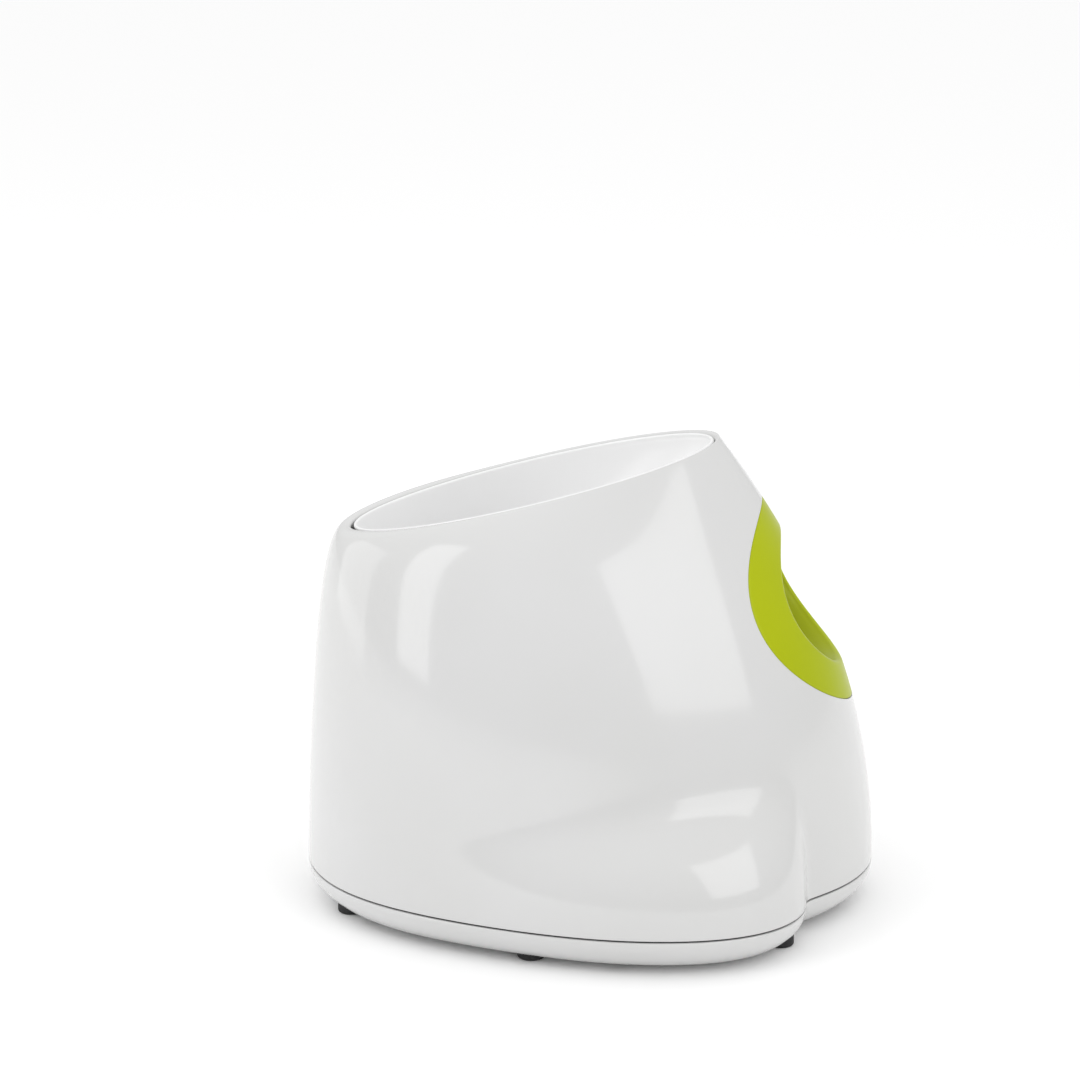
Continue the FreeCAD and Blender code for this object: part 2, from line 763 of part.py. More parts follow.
def feed_gearbox():
    y_from = feed_arm_width
    half = gearbox_length / 2
    depth = 2 * feed_pivot_drop - 2
    pivot = along_barrel(feed_pivot_s, feed_pivot_n)
    box = barrel_box(feed_pivot_s - half, feed_pivot_s + half, plate_under - depth, plate_under, y_from,
                     y_from + gearbox_width)
    box = box.makeFillet(gearbox_edge, [e for e in box.Edges if abs(e.tangentAt(e.FirstParameter).y) > 0.9
                                        and (e.CenterOfMass - pivot).dot(above) < 0])
    bore = Part.makeCylinder(feed_shaft_radius + running_gap, gearbox_shaft_depth + part_gap + 1,
                             along_barrel(feed_pivot_s, feed_pivot_n, y_from - 1), Vector(0, 1, 0))
    holes = [upright_cylinder(screw_radius + screw_gap, plate_under - gearbox_screw_bite - 1, plate_under + 1,
                              feed_pivot_s + d, y_from + gearbox_width / 2)
             for d in (-gearbox_screw_pitch / 2, gearbox_screw_pitch / 2)]
    return box.cut([bore] + holes)


def feed_motor():
    y_from = feed_arm_width + gearbox_width
    can = Part.makeCylinder(feed_motor_radius, feed_motor_length,
                            along_barrel(feed_pivot_s, feed_pivot_n, y_from), Vector(0, 1, 0))
    far = [e for e in can.Edges if e.Closed and e.CenterOfMass.y > y_from + feed_motor_length - 1]
    return can.makeFillet(motor_edge, far)


def ball_sensor():
    """An emitter and a receiver that look across the breech."""
    pieces = []
    for side in (-1, 1):
        face = tube_radius + part_gap
        s = -breech_to_muzzle
        top = plate_top + cheek_height + part_gap
        y_low = min(side * face, side * (face + sensor_width))
        half = sensor_length / 2
        case = barrel_box(s - half, s + half, top, top + sensor_height, y_low, y_low + sensor_width)
        y_eye = min(side * (bore_radius + 1), side * (face + 1))
        eye = Part.makeCylinder(sensor_eye_radius - running_gap, face - bore_radius,
                                along_barrel(s, 0, y_eye), Vector(0, 1, 0))
        pieces.append(case.fuse(eye))
    return Part.makeCompound(pieces)


def base_tray():
    top = seam_z - seam_groove
    drop = top - tray_bottom_z
    steps = (0.0, 0.35, 0.65, 0.88, 1.0)
    outside = Part.makeLoft([outline(tray_taper * t ** 2.2, top - drop * t) for t in steps], True, False)
    hollow = drop + 1 - tray_floor
    inside = Part.makeLoft([outline(tray_taper * t ** 2.2 + wall, top + 1 - hollow * t) for t in steps],
                           True, False)
    tongue_inset = wall + part_gap
    tongue_top = seam_z + tongue_height
    band = prism(tongue_inset, top - 3, tongue_top).fuse(prism(wall / 2, top - 3, top - 0.6))
    band = band.cut(prism(tongue_inset + tongue, top - 4, tongue_top + 1))
    tray = outside.cut(inside).fuse(band)
    pieces = []
    for x, y in base_boss_places():
        pieces.append(pillar(boss_radius, x, y, tray_bottom_z + 1, tongue_top))
    for x, y, z in frame_pillar_places():
        column = pillar(pillar_radius, x, y, tray_bottom_z + 1, z + 2 * pillar_radius)
        room = barrel_box(-plate_back, 0, plate_under, plate_under + 4 * pillar_radius,
                          y - 2 * pillar_radius, y + 2 * pillar_radius)
        pieces.append(column.cut(room))
    for x, y in foot_places:
        for side in (-1, 1):
            pieces.append(pillar(foot_radius + foot_pad, x, side * y, tray_bottom_z + 1,
                                 tray_floor_z + foot_inset))
    jack_from = jack_face_x()
    pieces.append(block(jack_from, jack_from + jack_length, jack_y - jack_width / 2, jack_y + jack_width / 2,
                        tray_bottom_z + 1, jack_z - jack_height / 2))
    for piece in pieces:
        tray = tray.fuse(piece)
    cuts = []
    for x, y in base_boss_places():
        cuts.append(pillar(screw_radius + screw_gap, x, y, 0, tongue_top + 1))
        cuts.append(pillar(screw_head_radius + part_gap, x, y, 0, tray_floor_z))
    for x, y, z in frame_pillar_places():
        cuts.append(barrel_hole_under_plate(x, y))
    for x, y in foot_places:
        for side in (-1, 1):
            cuts.append(pillar(foot_radius + running_gap, x, side * y, 0, tray_bottom_z + foot_inset))
    x_low = door_edge_x
    x_high = 2 * bay_centre_x - door_edge_x
    y_high = bay_half_length - door_lip
    cuts.append(block(x_low, x_high, -y_high, y_high, 0, tray_floor_z + 2))
    return tray.cut(cuts)


def barrel_hole_under_plate(x, y):
    """The screw hole in a frame pillar, square to the tilted plate."""
    s = (x - muzzle_x - above.x * plate_under) / ahead.x
    return upright_cylinder(screw_radius + screw_gap, plate_under - frame_screw_bite - 2, plate_under + 1, s, y)


def jack_face_x():
    return panel_surface_x(jack_y + jack_width / 2, jack_z + jack_height / 2) + wall + part_gap


def feet():
    pieces = []
    for x, y in foot_places:
        for side in (-1, 1):
            foot = pillar(foot_radius, x, side * y, 0, tray_bottom_z + foot_inset)
            low = [e for e in foot.Edges if e.Closed and e.CenterOfMass.z < 0.1]
            pieces.append(foot.makeFillet(foot_edge, low))
    return Part.makeCompound(pieces)


def base_screws():
    pieces = []
    for x, y in base_boss_places():
        tip = Vector(x, y, seam_z + tongue_height + boss_height * 0.6)
        pieces.append(screw(tip, Vector(x, y, tray_floor_z)))
    return Part.makeCompound(pieces)


def frame_screws():
    pieces = []
    for x, y, z in frame_pillar_places():
        s = (x - muzzle_x - above.x * plate_under) / ahead.x
        pieces.append(screw(along_barrel(s, plate_under - frame_screw_bite, y), along_barrel(s, plate_top, y)))
    for d in (-gearbox_screw_pitch / 2, gearbox_screw_pitch / 2):
        y = feed_arm_width + gearbox_width / 2
        pieces.append(screw(along_barrel(feed_pivot_s + d, plate_under - gearbox_screw_bite, y),
                            along_barrel(feed_pivot_s + d, plate_top, y)))
    return Part.makeCompound(pieces)


def motor_screws():
    pieces = []
    for side in (-1, 1):
        for d in (-motor_screw_pitch / 2, motor_screw_pitch / 2):
            s = -wheel_to_muzzle + d
            pieces.append(screw(along_barrel(s, plate_under - motor_screw_bite, side * wheel_y),
                                along_barrel(s, plate_top, side * wheel_y)))
    return Part.makeCompound(pieces)


def ring_screws():
    pieces = []
    for angle in ring_screw_angles:
        n, y = ring_screw_place(angle)
        pieces.append(screw(along_barrel(ring_screw_bite - ring_depth, n, y),
                            along_barrel(-ring_depth - tube_flange, n, y)))
    return Part.makeCompound(pieces)


def cell_places():
    """Centre line of each cell: its x, and the y where it starts."""
    places = []
    for row in (-1, 0, 1):
        for y_start in (-cell_length, 0.0):
            places.append((bay_centre_x + row * cell_pitch, y_start))
    return places


def battery_cells():
    pieces = []
    for x, y in cell_places():
        body = Part.makeCylinder(cell_radius, cell_length - cell_nub, Vector(x, y, cell_z), Vector(0, 1, 0))
        ends = [e for e in body.Edges if e.Closed]
        body = body.makeFillet(cell_edge, ends)
        nub = Part.makeCylinder(cell_nub_radius, 2 * cell_nub, Vector(x, y + cell_length - 2 * cell_nub - 0.01,
                                                                     cell_z), Vector(0, 1, 0))
        pieces.append(body.fuse(nub))
    return Part.makeCompound(pieces)


def battery_box():
    w = bay_half_width + bay_wall
    h = bay_half_length + bay_wall
    box = block(bay_centre_x - w, bay_centre_x + w, -h, h, tray_floor_z, bay_top_z + bay_wall)
    upright_edges = [e for e in box.Edges if abs(e.tangentAt(e.FirstParameter).z) > 0.9]
    box = box.makeFillet(bay_wall, upright_edges)
    room = block(bay_centre_x - bay_half_width, bay_centre_x + bay_half_width, -bay_half_length,
                 bay_half_length, tray_floor_z - 1, bay_top_z)
    box = box.cut(room)
    ribs = []
    for row in (-0.5, 0.5):
        x = bay_centre_x + row * cell_pitch
        for y in (-cell_length / 2, cell_length / 2):
            ribs.append(block(x - divider / 2, x + divider / 2, y - divider_length / 2, y + divider_length / 2,
                              cell_z + cell_radius * 0.5, bay_top_z + 0.5))
    return fused([box] + ribs)


def battery_springs():
    pieces = []
    for row in (-1, 0, 1):
        x = bay_centre_x + row * cell_pitch
        foot = Vector(x, -bay_half_length + contact_thickness, cell_z)
        room = contact_room / 2 - contact_thickness - contact_play
        pieces.append(spring(spring_radius, spring_wire, spring_turns, room, foot, Vector(0, 1, 0)))
    return Part.makeCompound(pieces)


def contact_plates():
    pieces = []
    for row in (-1, 0, 1):
        x = bay_centre_x + row * cell_pitch
        for side in (-1, 1):
            y = side * (bay_half_length - contact_thickness / 2)
            half = contact_side / 2
            strip = block(x - half, x + half, y - contact_thickness / 2, y + contact_thickness / 2,
                          cell_z - half, cell_z + half)
            if side > 0:
                strip = strip.fuse(Part.makeCylinder(contact_button_radius,
                                                     contact_room / 2 - contact_thickness - contact_play,
                                                     Vector(x, y - contact_thickness / 2, cell_z),
                                                     Vector(0, -1, 0)))
            pieces.append(strip)
    return Part.makeCompound(pieces)


def battery_door():
    x_low = door_edge_x + door_gap
    x_high = 2 * bay_centre_x - door_edge_x - door_gap
    y_high = bay_half_length - door_lip - door_gap
    top = tray_floor_z - part_gap
    nose = (top - tray_bottom_z) / 2
    panel = block(x_low + nose, x_high, -y_high, y_high, tray_bottom_z, top)
    panel = panel.makeFillet(door_corner, [e for e in panel.Edges
                                           if abs(e.tangentAt(e.FirstParameter).z) > 0.9
                                           and e.CenterOfMass.x > bay_centre_x])
    swing_edge = Part.makeCylinder(nose, 2 * y_high, Vector(x_low + nose, -y_high, tray_bottom_z + nose),
                                   Vector(0, 1, 0))
    pieces = [panel, swing_edge]
    for y in (-door_tab_y, door_tab_y):
        tab_top = tray_floor_z + part_gap + door_tab_thickness
        pieces.append(block(x_low + nose / 2, x_low + 2 * nose, y - door_tab_width / 2, y + door_tab_width / 2,
                            tray_bottom_z + nose, tab_top))
        pieces.append(block(x_low - door_tab, x_low + 2 * nose, y - door_tab_width / 2, y + door_tab_width / 2,
                            tray_floor_z + part_gap, tab_top))
    for row in (-1, 0, 1):
        x = bay_centre_x + row * cell_pitch
        half = door_rib_width / 2
        reach = y_high - door_rib_inset
        pieces.append(block(x - half, x + half, -reach, reach, top - 0.5, tray_floor_z + door_rib_height))
    door = fused(pieces)
    groove_room = []
    x_groove = x_high - grip_inset
    for index in range(grip_ridges):
        y = grip_pitch * (index - (grip_ridges - 1) / 2)
        groove_room.append(block(x_groove - grip_length, x_groove, y - grip_width / 2, y + grip_width / 2,
                                 tray_bottom_z - 1, tray_bottom_z + grip_depth))
    return door.cut(groove_room)


def control_panel(outer):
    back = -half_length - wall
    face = outer.common(panel_prism(0, back, board_x))
    flange = skin_solid(wall + part_gap).common(panel_prism(panel_flange, back, board_x))
    plate_solid = face.fuse(flange).cut(skin_solid(2 * wall + part_gap, wall))
    behind_face = skin_solid(wall, wall)
    posts = []
    for y, z in board_post_places():
        post = Part.makeCylinder(post_radius, half_length + board_x, Vector(-half_length, y, z), Vector(1, 0, 0))
        posts.append(post.common(behind_face))
    cuts = []
    for y in button_places():
        cuts.append(Part.makeCylinder(button_radius + part_gap, 20, Vector(-half_length - 1, y, button_z),
                                      Vector(1, 0, 0)))
        cuts.append(Part.makeCylinder(button_radius + button_flange + 2 * part_gap, 20,
                                      Vector(button_pocket_x(), y, button_z), Vector(1, 0, 0)))
    for index in (-1, 0, 1):
        cuts.append(Part.makeCylinder(lamp_radius + running_gap, 20,
                                      Vector(-half_length - 1, panel_y + index * lamp_pitch, lamp_z),
                                      Vector(1, 0, 0)))
    holes = [Part.makeCylinder(screw_radius + screw_gap, board_screw_bite + 2,
                               Vector(board_x - board_screw_bite - 1, y, z), Vector(1, 0, 0))
             for y, z in board_post_places()]
    return fused([plate_solid] + posts).cut(cuts + holes)


def board_post_places():
    """Where the four posts stand that carry the board."""
    reach = panel_half_width - post_inset_y
    low = panel_bottom_z + post_inset_z
    high = panel_top_z - post_inset_z
    return [(panel_y - reach, low), (panel_y - reach, high), (panel_y + reach, low), (panel_y + reach, high)]


def button_places():
    return panel_y - button_pitch / 2, panel_y + button_pitch / 2


def panel_surface_x(y, z):
    """How far back the skin lies at this y and height."""
    angle = math.pi
    level = (z - seam_z) / (rim_back_z - seam_z)
    for _ in range(12):
        p = skin_point(angle, level, 0.0)
        angle += (abs(p.y) - abs(y)) / (pole_x - p.x)
        level += (z - p.z) / (rim_back_z - seam_z)
    return skin_point(angle, level, 0.0).x


def button_pocket_x():
    """Where the flat pockets for the buttons' flanges start, behind the panel's curved face."""
    edge_y = panel_y + button_pitch / 2 + button_radius + button_flange + 2 * part_gap
    return panel_surface_x(edge_y, button_z + button_radius) + wall / 2


def push_button(y):
    face_x = panel_surface_x(y, button_z) - button_proud
    foot_x = button_pocket_x() + part_gap
    cap = Part.makeCylinder(button_radius, foot_x + 0.5 - face_x, Vector(face_x, y, button_z), Vector(1, 0, 0))
    rim = [e for e in cap.Edges if e.Closed and e.CenterOfMass.x < face_x + 0.1]
    cap = cap.makeFillet(button_edge, rim)
    flange = Part.makeCylinder(button_radius + button_flange, button_flange_thickness,
                               Vector(foot_x, y, button_z), Vector(1, 0, 0))
    stem_end = board_x - switch_body - switch_plunger - button_travel - part_gap
    stem = Part.makeCylinder(button_stem_radius, stem_end - foot_x, Vector(foot_x, y, button_z), Vector(1, 0, 0))
    return fused([cap, flange, stem])


def lamp_lenses():
    pieces = []
    for index in (-1, 0, 1):
        y = panel_y + index * lamp_pitch
        start = panel_surface_x(y, lamp_z) - lamp_proud
        length = board_x - lamp_chip - part_gap - start
        pieces.append(Part.makeCylinder(lamp_radius, length, Vector(start, y, lamp_z), Vector(1, 0, 0)))
    return Part.makeCompound(pieces)


def main_board():
    body = block(board_x, board_x + board, panel_y - board_half_width, panel_y + board_half_width,
                 board_bottom_z, board_top_z)
    holes = [Part.makeCylinder(screw_radius + screw_gap, board + 2, Vector(board_x - 1, y, z), Vector(1, 0, 0))
             for y, z in board_post_places()]
    return body.cut(holes)


def board_screws():
    pieces = []
    for y, z in board_post_places():
        pieces.append(screw(Vector(board_x - board_screw_bite, y, z), Vector(board_x + board, y, z)))
    return Part.makeCompound(pieces)


def tact_switches():
    pieces = []
    for y in button_places():
        half = switch_side / 2
        base = block(board_x - switch_body, board_x, y - half, y + half, button_z - half, button_z + half)
        plunger = Part.makeCylinder(switch_plunger_radius, switch_plunger,
                                    Vector(board_x - switch_body - switch_plunger, y, button_z), Vector(1, 0, 0))
        pieces.append(base.fuse(plunger))
    return Part.makeCompound(pieces)


def board_components():
    """Lamps behind the light pipes, the controller, a capacitor, a drive transistor pair and plugs."""
    pieces = []
    for index in (-1, 0, 1):
        pieces.append(Part.makeCylinder(lamp_chip_radius, lamp_chip,
                                        Vector(board_x - lamp_chip, panel_y + index * lamp_pitch, lamp_z),
                                        Vector(1, 0, 0)))
    pieces.append(on_board(0.0, chip_z, chip_width, chip_height, chip_thickness))
    pieces.append(Part.makeCylinder(capacitor_radius, capacitor_length,
                                    Vector(board_x + board, panel_y + capacitor_y, capacitor_z),
                                    Vector(1, 0, 0)))
    for side in (-0.5, 0.5):
        pieces.append(on_board(driver_y + side * driver_pitch, driver_z, driver_width, driver_height,
                               driver_thickness))
    for index in (-1, 0, 1):
        pieces.append(on_board(index * plug_pitch, plug_z, plug_width, plug_height, plug_depth))
    return Part.makeCompound(pieces)


def on_board(y, z, width, height, depth):
    """A rectangular part on the board's inner side, y to the side of the board's middle."""
    front = board_x + board
    middle = panel_y + y
    return block(front, front + depth, middle - width / 2, middle + width / 2, z - height / 2, z + height / 2)


def dc_jack():
    x = jack_face_x()
    half_w = jack_width / 2
    half_h = jack_height / 2
    body = block(x, x + jack_length, jack_y - half_w, jack_y + half_w, jack_z - half_h, jack_z + half_h)
    front = x - jack_sleeve
    way = Vector(1, 0, 0)
    sleeve = Part.makeCylinder(jack_hole_radius - part_gap, jack_sleeve, Vector(front, jack_y, jack_z), way)
    hole = Part.makeCylinder(jack_bore_radius, jack_bore_depth + 3, Vector(front - 1, jack_y, jack_z), way)
    pin = Part.makeCylinder(jack_pin_radius, jack_pin, Vector(front + 3, jack_y, jack_z), way)
    return body.fuse(sleeve).cut(hole).fuse(pin)


outer_skin = skin_solid(0.0)
left_hub, left_tyre, left_shaft = flywheel_parts(1)
right_hub, right_tyre, right_shaft = flywheel_parts(-1)

nodes = {
    "upper_housing": upper_housing(outer_skin),
    "hopper": hopper(),
    "muzzle_ring": muzzle_ring(outer_skin),
    "ring_screws": ring_screws(),
    "launch_tube": launch_tube(),
    "breech": breech(),
    "ball_sensor": ball_sensor(),
    "drive_frame": drive_frame(),
    "frame_screws": frame_screws(),
    "flywheel_left_hub": left_hub,
    "flywheel_left_tyre": left_tyre,
    "flywheel_left_shaft": left_shaft,
    "flywheel_right_hub": right_hub,
    "flywheel_right_tyre": right_tyre,
    "flywheel_right_shaft": right_shaft,
    "motor_left": motor(1),
    "motor_right": motor(-1),
    "motor_end_caps": motor_caps(),
    "motor_screws": motor_screws(),
    "feed_arm": feed_arm(),
    "feed_shaft": feed_shaft(),
    "feed_gearbox": feed_gearbox(),
    "feed_motor": feed_motor(),
    "base_tray": base_tray(),
    "base_screws": base_screws(),
    "feet": feet(),
    "battery_box": battery_box(),
    "battery_cells": battery_cells(),
    "battery_springs": battery_springs(),
    "contact_plates": contact_plates(),
    "battery_door": battery_door(),
    "control_panel": control_panel(outer_skin),
    "power_button": push_button(button_places()[1]),
    "range_button": push_button(button_places()[0]),
    "lamp_lenses": lamp_lenses(),
    "main_board": main_board(),
    "board_screws": board_screws(),
    "tact_switches": tact_switches(),
    "board_components": board_components(),
    "dc_jack": dc_jack(),
}
for name, shape in nodes.items():
    shape.exportStep(f"parts/{name}.step")
    print(name, len(shape.Solids), "solids,", "valid" if shape.isValid() else "not valid")
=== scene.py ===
import json
import math

import bmesh
import bpy
import numpy as np
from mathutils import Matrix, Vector


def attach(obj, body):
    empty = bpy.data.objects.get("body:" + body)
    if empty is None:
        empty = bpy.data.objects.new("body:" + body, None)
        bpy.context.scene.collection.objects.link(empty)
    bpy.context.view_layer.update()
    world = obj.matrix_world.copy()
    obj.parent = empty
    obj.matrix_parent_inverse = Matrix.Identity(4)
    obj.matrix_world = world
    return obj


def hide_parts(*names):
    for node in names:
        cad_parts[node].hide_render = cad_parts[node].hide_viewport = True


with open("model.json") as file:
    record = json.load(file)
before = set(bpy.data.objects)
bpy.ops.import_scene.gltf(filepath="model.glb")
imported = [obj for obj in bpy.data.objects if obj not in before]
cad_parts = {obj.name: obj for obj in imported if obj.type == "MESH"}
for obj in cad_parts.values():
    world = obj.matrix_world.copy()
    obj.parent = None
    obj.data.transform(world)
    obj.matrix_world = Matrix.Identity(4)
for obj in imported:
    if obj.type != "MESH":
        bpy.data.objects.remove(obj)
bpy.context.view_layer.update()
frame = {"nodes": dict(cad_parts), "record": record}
nodes = frame["nodes"]
mm = 0.001
fixedBody = "launcher"  # the body that everything fixed belongs to


# Node trees: a socket that can be used in a formula, and one call that adds any node

class Val:
    def __init__(self, tree, socket):
        self.tree = tree
        self.socket = socket

    def math(self, operation, *others):
        numbered = {str(slot): value for slot, value in enumerate((self,) + others)}
        return addNode(self.tree, "ShaderNodeMath", 0, {"operation": operation}, **numbered)

    def __add__(self, other):
        return self.math("ADD", other)

    def __radd__(self, other):
        return self.math("ADD", other)

    def __mul__(self, other):
        return self.math("MULTIPLY", other)

    def __rmul__(self, other):
        return self.math("MULTIPLY", other)

    def __sub__(self, other):
        return self.math("SUBTRACT", other)

    def __rsub__(self, other):
        return (self * -1.0).math("ADD", other)


def plug(tree, value, socket):
    if isinstance(value, Val):
        tree.links.new(value.socket, socket)
    else:
        socket.default_value = value


# A socket's name is written with _ for a space; a number is the socket's place in the node
def addNode(tree, kind, output, settings=None, **inputs):
    made = tree.nodes.new(kind)
    for key, value in (settings or {}).items():
        setattr(made, key, value)
    for key, value in inputs.items():
        name = key.replace("_", " ")
        plug(tree, value, made.inputs[int(name) if name.isdigit() else name])
    return Val(tree, made.outputs[output])


noiseRange = (0.3, 0.7)  # where most values of a noise texture lie


# One material under construction
class Finish:
    def __init__(self, name):
        self.material = bpy.data.materials.new(name)
        self.material.use_nodes = True
        self.tree = self.material.node_tree
        self.shader = self.tree.nodes["Principled BSDF"]
        self.place = addNode(self.tree, "ShaderNodeTexCoord", "Object")

    def node(self, kind, output, settings=None, **inputs):
        return addNode(self.tree, kind, output, settings, **inputs)

    def noise(self, scale, detail=3.0, roughness=0.5):
        return self.node("ShaderNodeTexNoise", "Fac", Vector=self.place, Scale=scale, Detail=detail,
                         Roughness=roughness)

    def spread(self, value, low, high, outLow=0.0, outHigh=1.0):
        return self.node("ShaderNodeMapRange", "Result", Value=value, From_Min=low, From_Max=high,
                         To_Min=outLow, To_Max=outHigh)

    def tint(self, factor, colourA, colourB):
        mixed = {"0": factor, "6": (*colourA, 1.0), "7": (*colourB, 1.0)}
        return self.node("ShaderNodeMix", 2, {"data_type": "RGBA"}, **mixed)

    def bump(self, height, strength, distance):
        return self.node("ShaderNodeBump", "Normal", Strength=strength, Distance=distance, Height=height)

    def set(self, **inputs):
        for key, value in inputs.items():
            plug(self.tree, value, self.shader.inputs[key.replace("_", " ")])


# A colour as it is seen on screen, from 0 to 255, in linear light
def srgb(red, green, blue):
    parts = [value / 255 for value in (red, green, blue)]
    return tuple(p / 12.92 if p <= 0.04045 else ((p + 0.055) / 1.055) ** 2.4 for p in parts)


# Glossy moulded plastic: a faint waviness, tiny specks and slightly uneven gloss

whiteShell = {
    "colour": (210, 210, 210), "shade": (206, 206, 205), "rough": 0.12, "peel": 0.012, "haze": 0.05,
    "shine": 0.5, "coat": 0.35,
}
hopperShell = {
    "colour": (240, 240, 240), "shade": (236, 236, 236), "rough": 0.3, "peel": 0.02, "haze": 0.06,
    "shine": 0.5, "coat": 0.1,
}
limeShell = {
    "colour": (172, 183, 0), "shade": (161, 173, 0), "rough": 0.3, "peel": 0.02, "haze": 0.06,
    "shine": 0.2, "coat": 0.0,
}
gloss = {
    "flowScale": 9.0, "smearScale": 34.0, "speckScale": 900.0, "peelScale": 260.0, "speckFrom": 0.62,
    "speckTo": 0.75, "peelShare": 0.6, "speckShare": 0.15, "speckRough": 0.04, "depth": 0.0006,
    "smearRange": (0.25, 0.75), "coatRough": 0.06, "ior": 1.5,
}


def glossyPlastic(name, look):
    f = Finish(name)
    flow = f.noise(gloss["flowScale"], 2.0)
    smear = f.noise(gloss["smearScale"], 4.0, 0.6)
    speck = f.spread(f.noise(gloss["speckScale"], 2.0), gloss["speckFrom"], gloss["speckTo"])
    colour = f.tint(f.spread(flow, *noiseRange), srgb(*look["colour"]), srgb(*look["shade"]))
    smooth, hazy = look["rough"] - look["haze"] / 2, look["rough"] + look["haze"]
    rough = f.spread(smear, *gloss["smearRange"], smooth, hazy)
    peel = f.noise(gloss["peelScale"], 2.0) * gloss["peelShare"] + speck * gloss["speckShare"]
    f.set(Base_Color=colour, Roughness=rough + speck * gloss["speckRough"],
          Normal=f.bump(peel, look["peel"], gloss["depth"]))
    f.set(Coat_Weight=look["coat"], Coat_Roughness=gloss["coatRough"], IOR=gloss["ior"],
          Specular_IOR_Level=look["shine"])
    return f.material


# Spark-eroded moulded plastic with an even fine grain

greySatin = {"colour": (84, 86, 88), "rough": 0.42}
paleSatin = {"colour": (168, 170, 172), "rough": 0.42}
blackSatin = {"colour": (26, 26, 27), "rough": 0.5}
spark = {
    "grainScale": 700.0, "cloudScale": 30.0, "darker": 0.82, "grain": 0.12, "depth": 0.0004,
    "smoother": 0.06, "rougher": 0.08,
}


def satinPlastic(name, look):
    f = Finish(name)
    base = srgb(*look["colour"])
    dark = tuple(value * spark["darker"] for value in base)
    grainy = f.noise(spark["grainScale"], 3.0, 0.65)
    cloud = f.noise(spark["cloudScale"], 3.0)
    f.set(Base_Color=f.tint(f.spread(cloud, *noiseRange), dark, base),
          Roughness=f.spread(grainy, *noiseRange, look["rough"] - spark["smoother"],
                             look["rough"] + spark["rougher"]),
          Normal=f.bump(grainy, spark["grain"], spark["depth"]))
    return f.material


# Matte rubber with a dusty bloom

footRubber = {"colour": (30, 30, 31)}
tyreRubber = {"colour": (46, 45, 44)}
dusty = {
    "dustScale": 60.0, "poreScale": 1100.0, "dustRange": (0.45, 0.75), "paler": 1.7, "lift": 0.01,
    "rough": (0.62, 0.8), "pores": 0.25, "depth": 0.0003,
}


def rubber(name, look):
    f = Finish(name)
    base = srgb(*look["colour"])
    bloom = tuple(value * dusty["paler"] + dusty["lift"] for value in base)
    dust = f.noise(dusty["dustScale"], 5.0, 0.65)
    pores = f.noise(dusty["poreScale"], 2.0)
    f.set(Base_Color=f.tint(f.spread(dust, *dusty["dustRange"]), base, bloom),
          Roughness=f.spread(dust, *noiseRange, *dusty["rough"]),
          Normal=f.bump(pores, dusty["pores"], dusty["depth"]))
    return f.material


# Plated or turned steel with fine machining marks

screwSteel = {"colour": (196, 196, 192), "rough": 0.28, "lineScale": 420.0}
motorSteel = {"colour": (178, 180, 182), "rough": 0.32, "lineScale": 120.0}
shaftSteel = {"colour": (206, 206, 208), "rough": 0.18, "lineScale": 420.0}
contactNickel = {"colour": (214, 210, 196), "rough": 0.2, "lineScale": 420.0}
plated = {
    "stainScale": 45.0, "stainRange": (0.35, 0.7), "darker": 0.78, "smoother": 0.08, "rougher": 0.1,
    "marks": 0.05, "depth": 0.0002,
}


def metal(name, look):
    f = Finish(name)
    base = srgb(*look["colour"])
    dark = tuple(value * plated["darker"] for value in base)
    lines = f.noise(look["lineScale"], 4.0)
    stain = f.noise(plated["stainScale"], 4.0, 0.6)
    f.set(Base_Color=f.tint(f.spread(stain, *plated["stainRange"]), dark, base), Metallic=1.0,
          Roughness=f.spread(lines, *noiseRange, look["rough"] - plated["smoother"],
                             look["rough"] + plated["rougher"]),
          Normal=f.bump(lines, plated["marks"], plated["depth"]))
    return f.material


# A plain battery sleeve with a paler band towards one end of each cell

sleeve = {
    "dark": (38, 42, 58), "band": (190, 150, 70), "cellPitch": 0.05, "bandFrom": 0.034, "bandTo": 0.0345,
    "metallic": 0.6, "rough": (0.24, 0.36), "smearScale": 200.0, "grainScale": 500.0, "grain": 0.05,
    "depth": 0.0003,
}


def cellSleeve(name):
    f = Finish(name)
    y = f.node("ShaderNodeSeparateXYZ", "Y", Vector=f.place)
    along = (y + sleeve["cellPitch"]).math("MODULO", sleeve["cellPitch"])
    band = f.spread(along, sleeve["bandFrom"], sleeve["bandTo"])
    f.set(Base_Color=f.tint(band, srgb(*sleeve["dark"]), srgb(*sleeve["band"])),
          Roughness=f.spread(f.noise(sleeve["smearScale"]), *noiseRange, *sleeve["rough"]),
          Normal=f.bump(f.noise(sleeve["grainScale"]), sleeve["grain"], sleeve["depth"]),
          Metallic=sleeve["metallic"])
    return f.material


# Green solder mask over a faint pattern of copper tracks

mask = {
    "track": (38, 112, 62), "field": (18, 78, 40), "trackScale": 260.0, "trackRange": (0.02, 0.1),
    "smearScale": 90.0, "rough": (0.25, 0.4), "relief": 0.15, "depth": 0.0002,
}


def boardMask(name):
    f = Finish(name)
    cells = f.node("ShaderNodeTexVoronoi", "Distance", {"feature": "DISTANCE_TO_EDGE"}, Vector=f.place,
                   Scale=mask["trackScale"])
    track = f.spread(cells, *mask["trackRange"])
    f.set(Base_Color=f.tint(track, srgb(*mask["track"]), srgb(*mask["field"])),
          Roughness=f.spread(f.noise(mask["smearScale"]), *noiseRange, *mask["rough"]),
          Normal=f.bump(track, mask["relief"], mask["depth"]))
    return f.material


# A frosted clear light pipe

lens = {
    "clear": (222, 236, 214), "hazy": (200, 222, 190), "hazeScale": 300.0, "rough": (0.12, 0.3),
    "grain": 0.04, "depth": 0.0002, "glass": 0.35, "ior": 1.49,
}


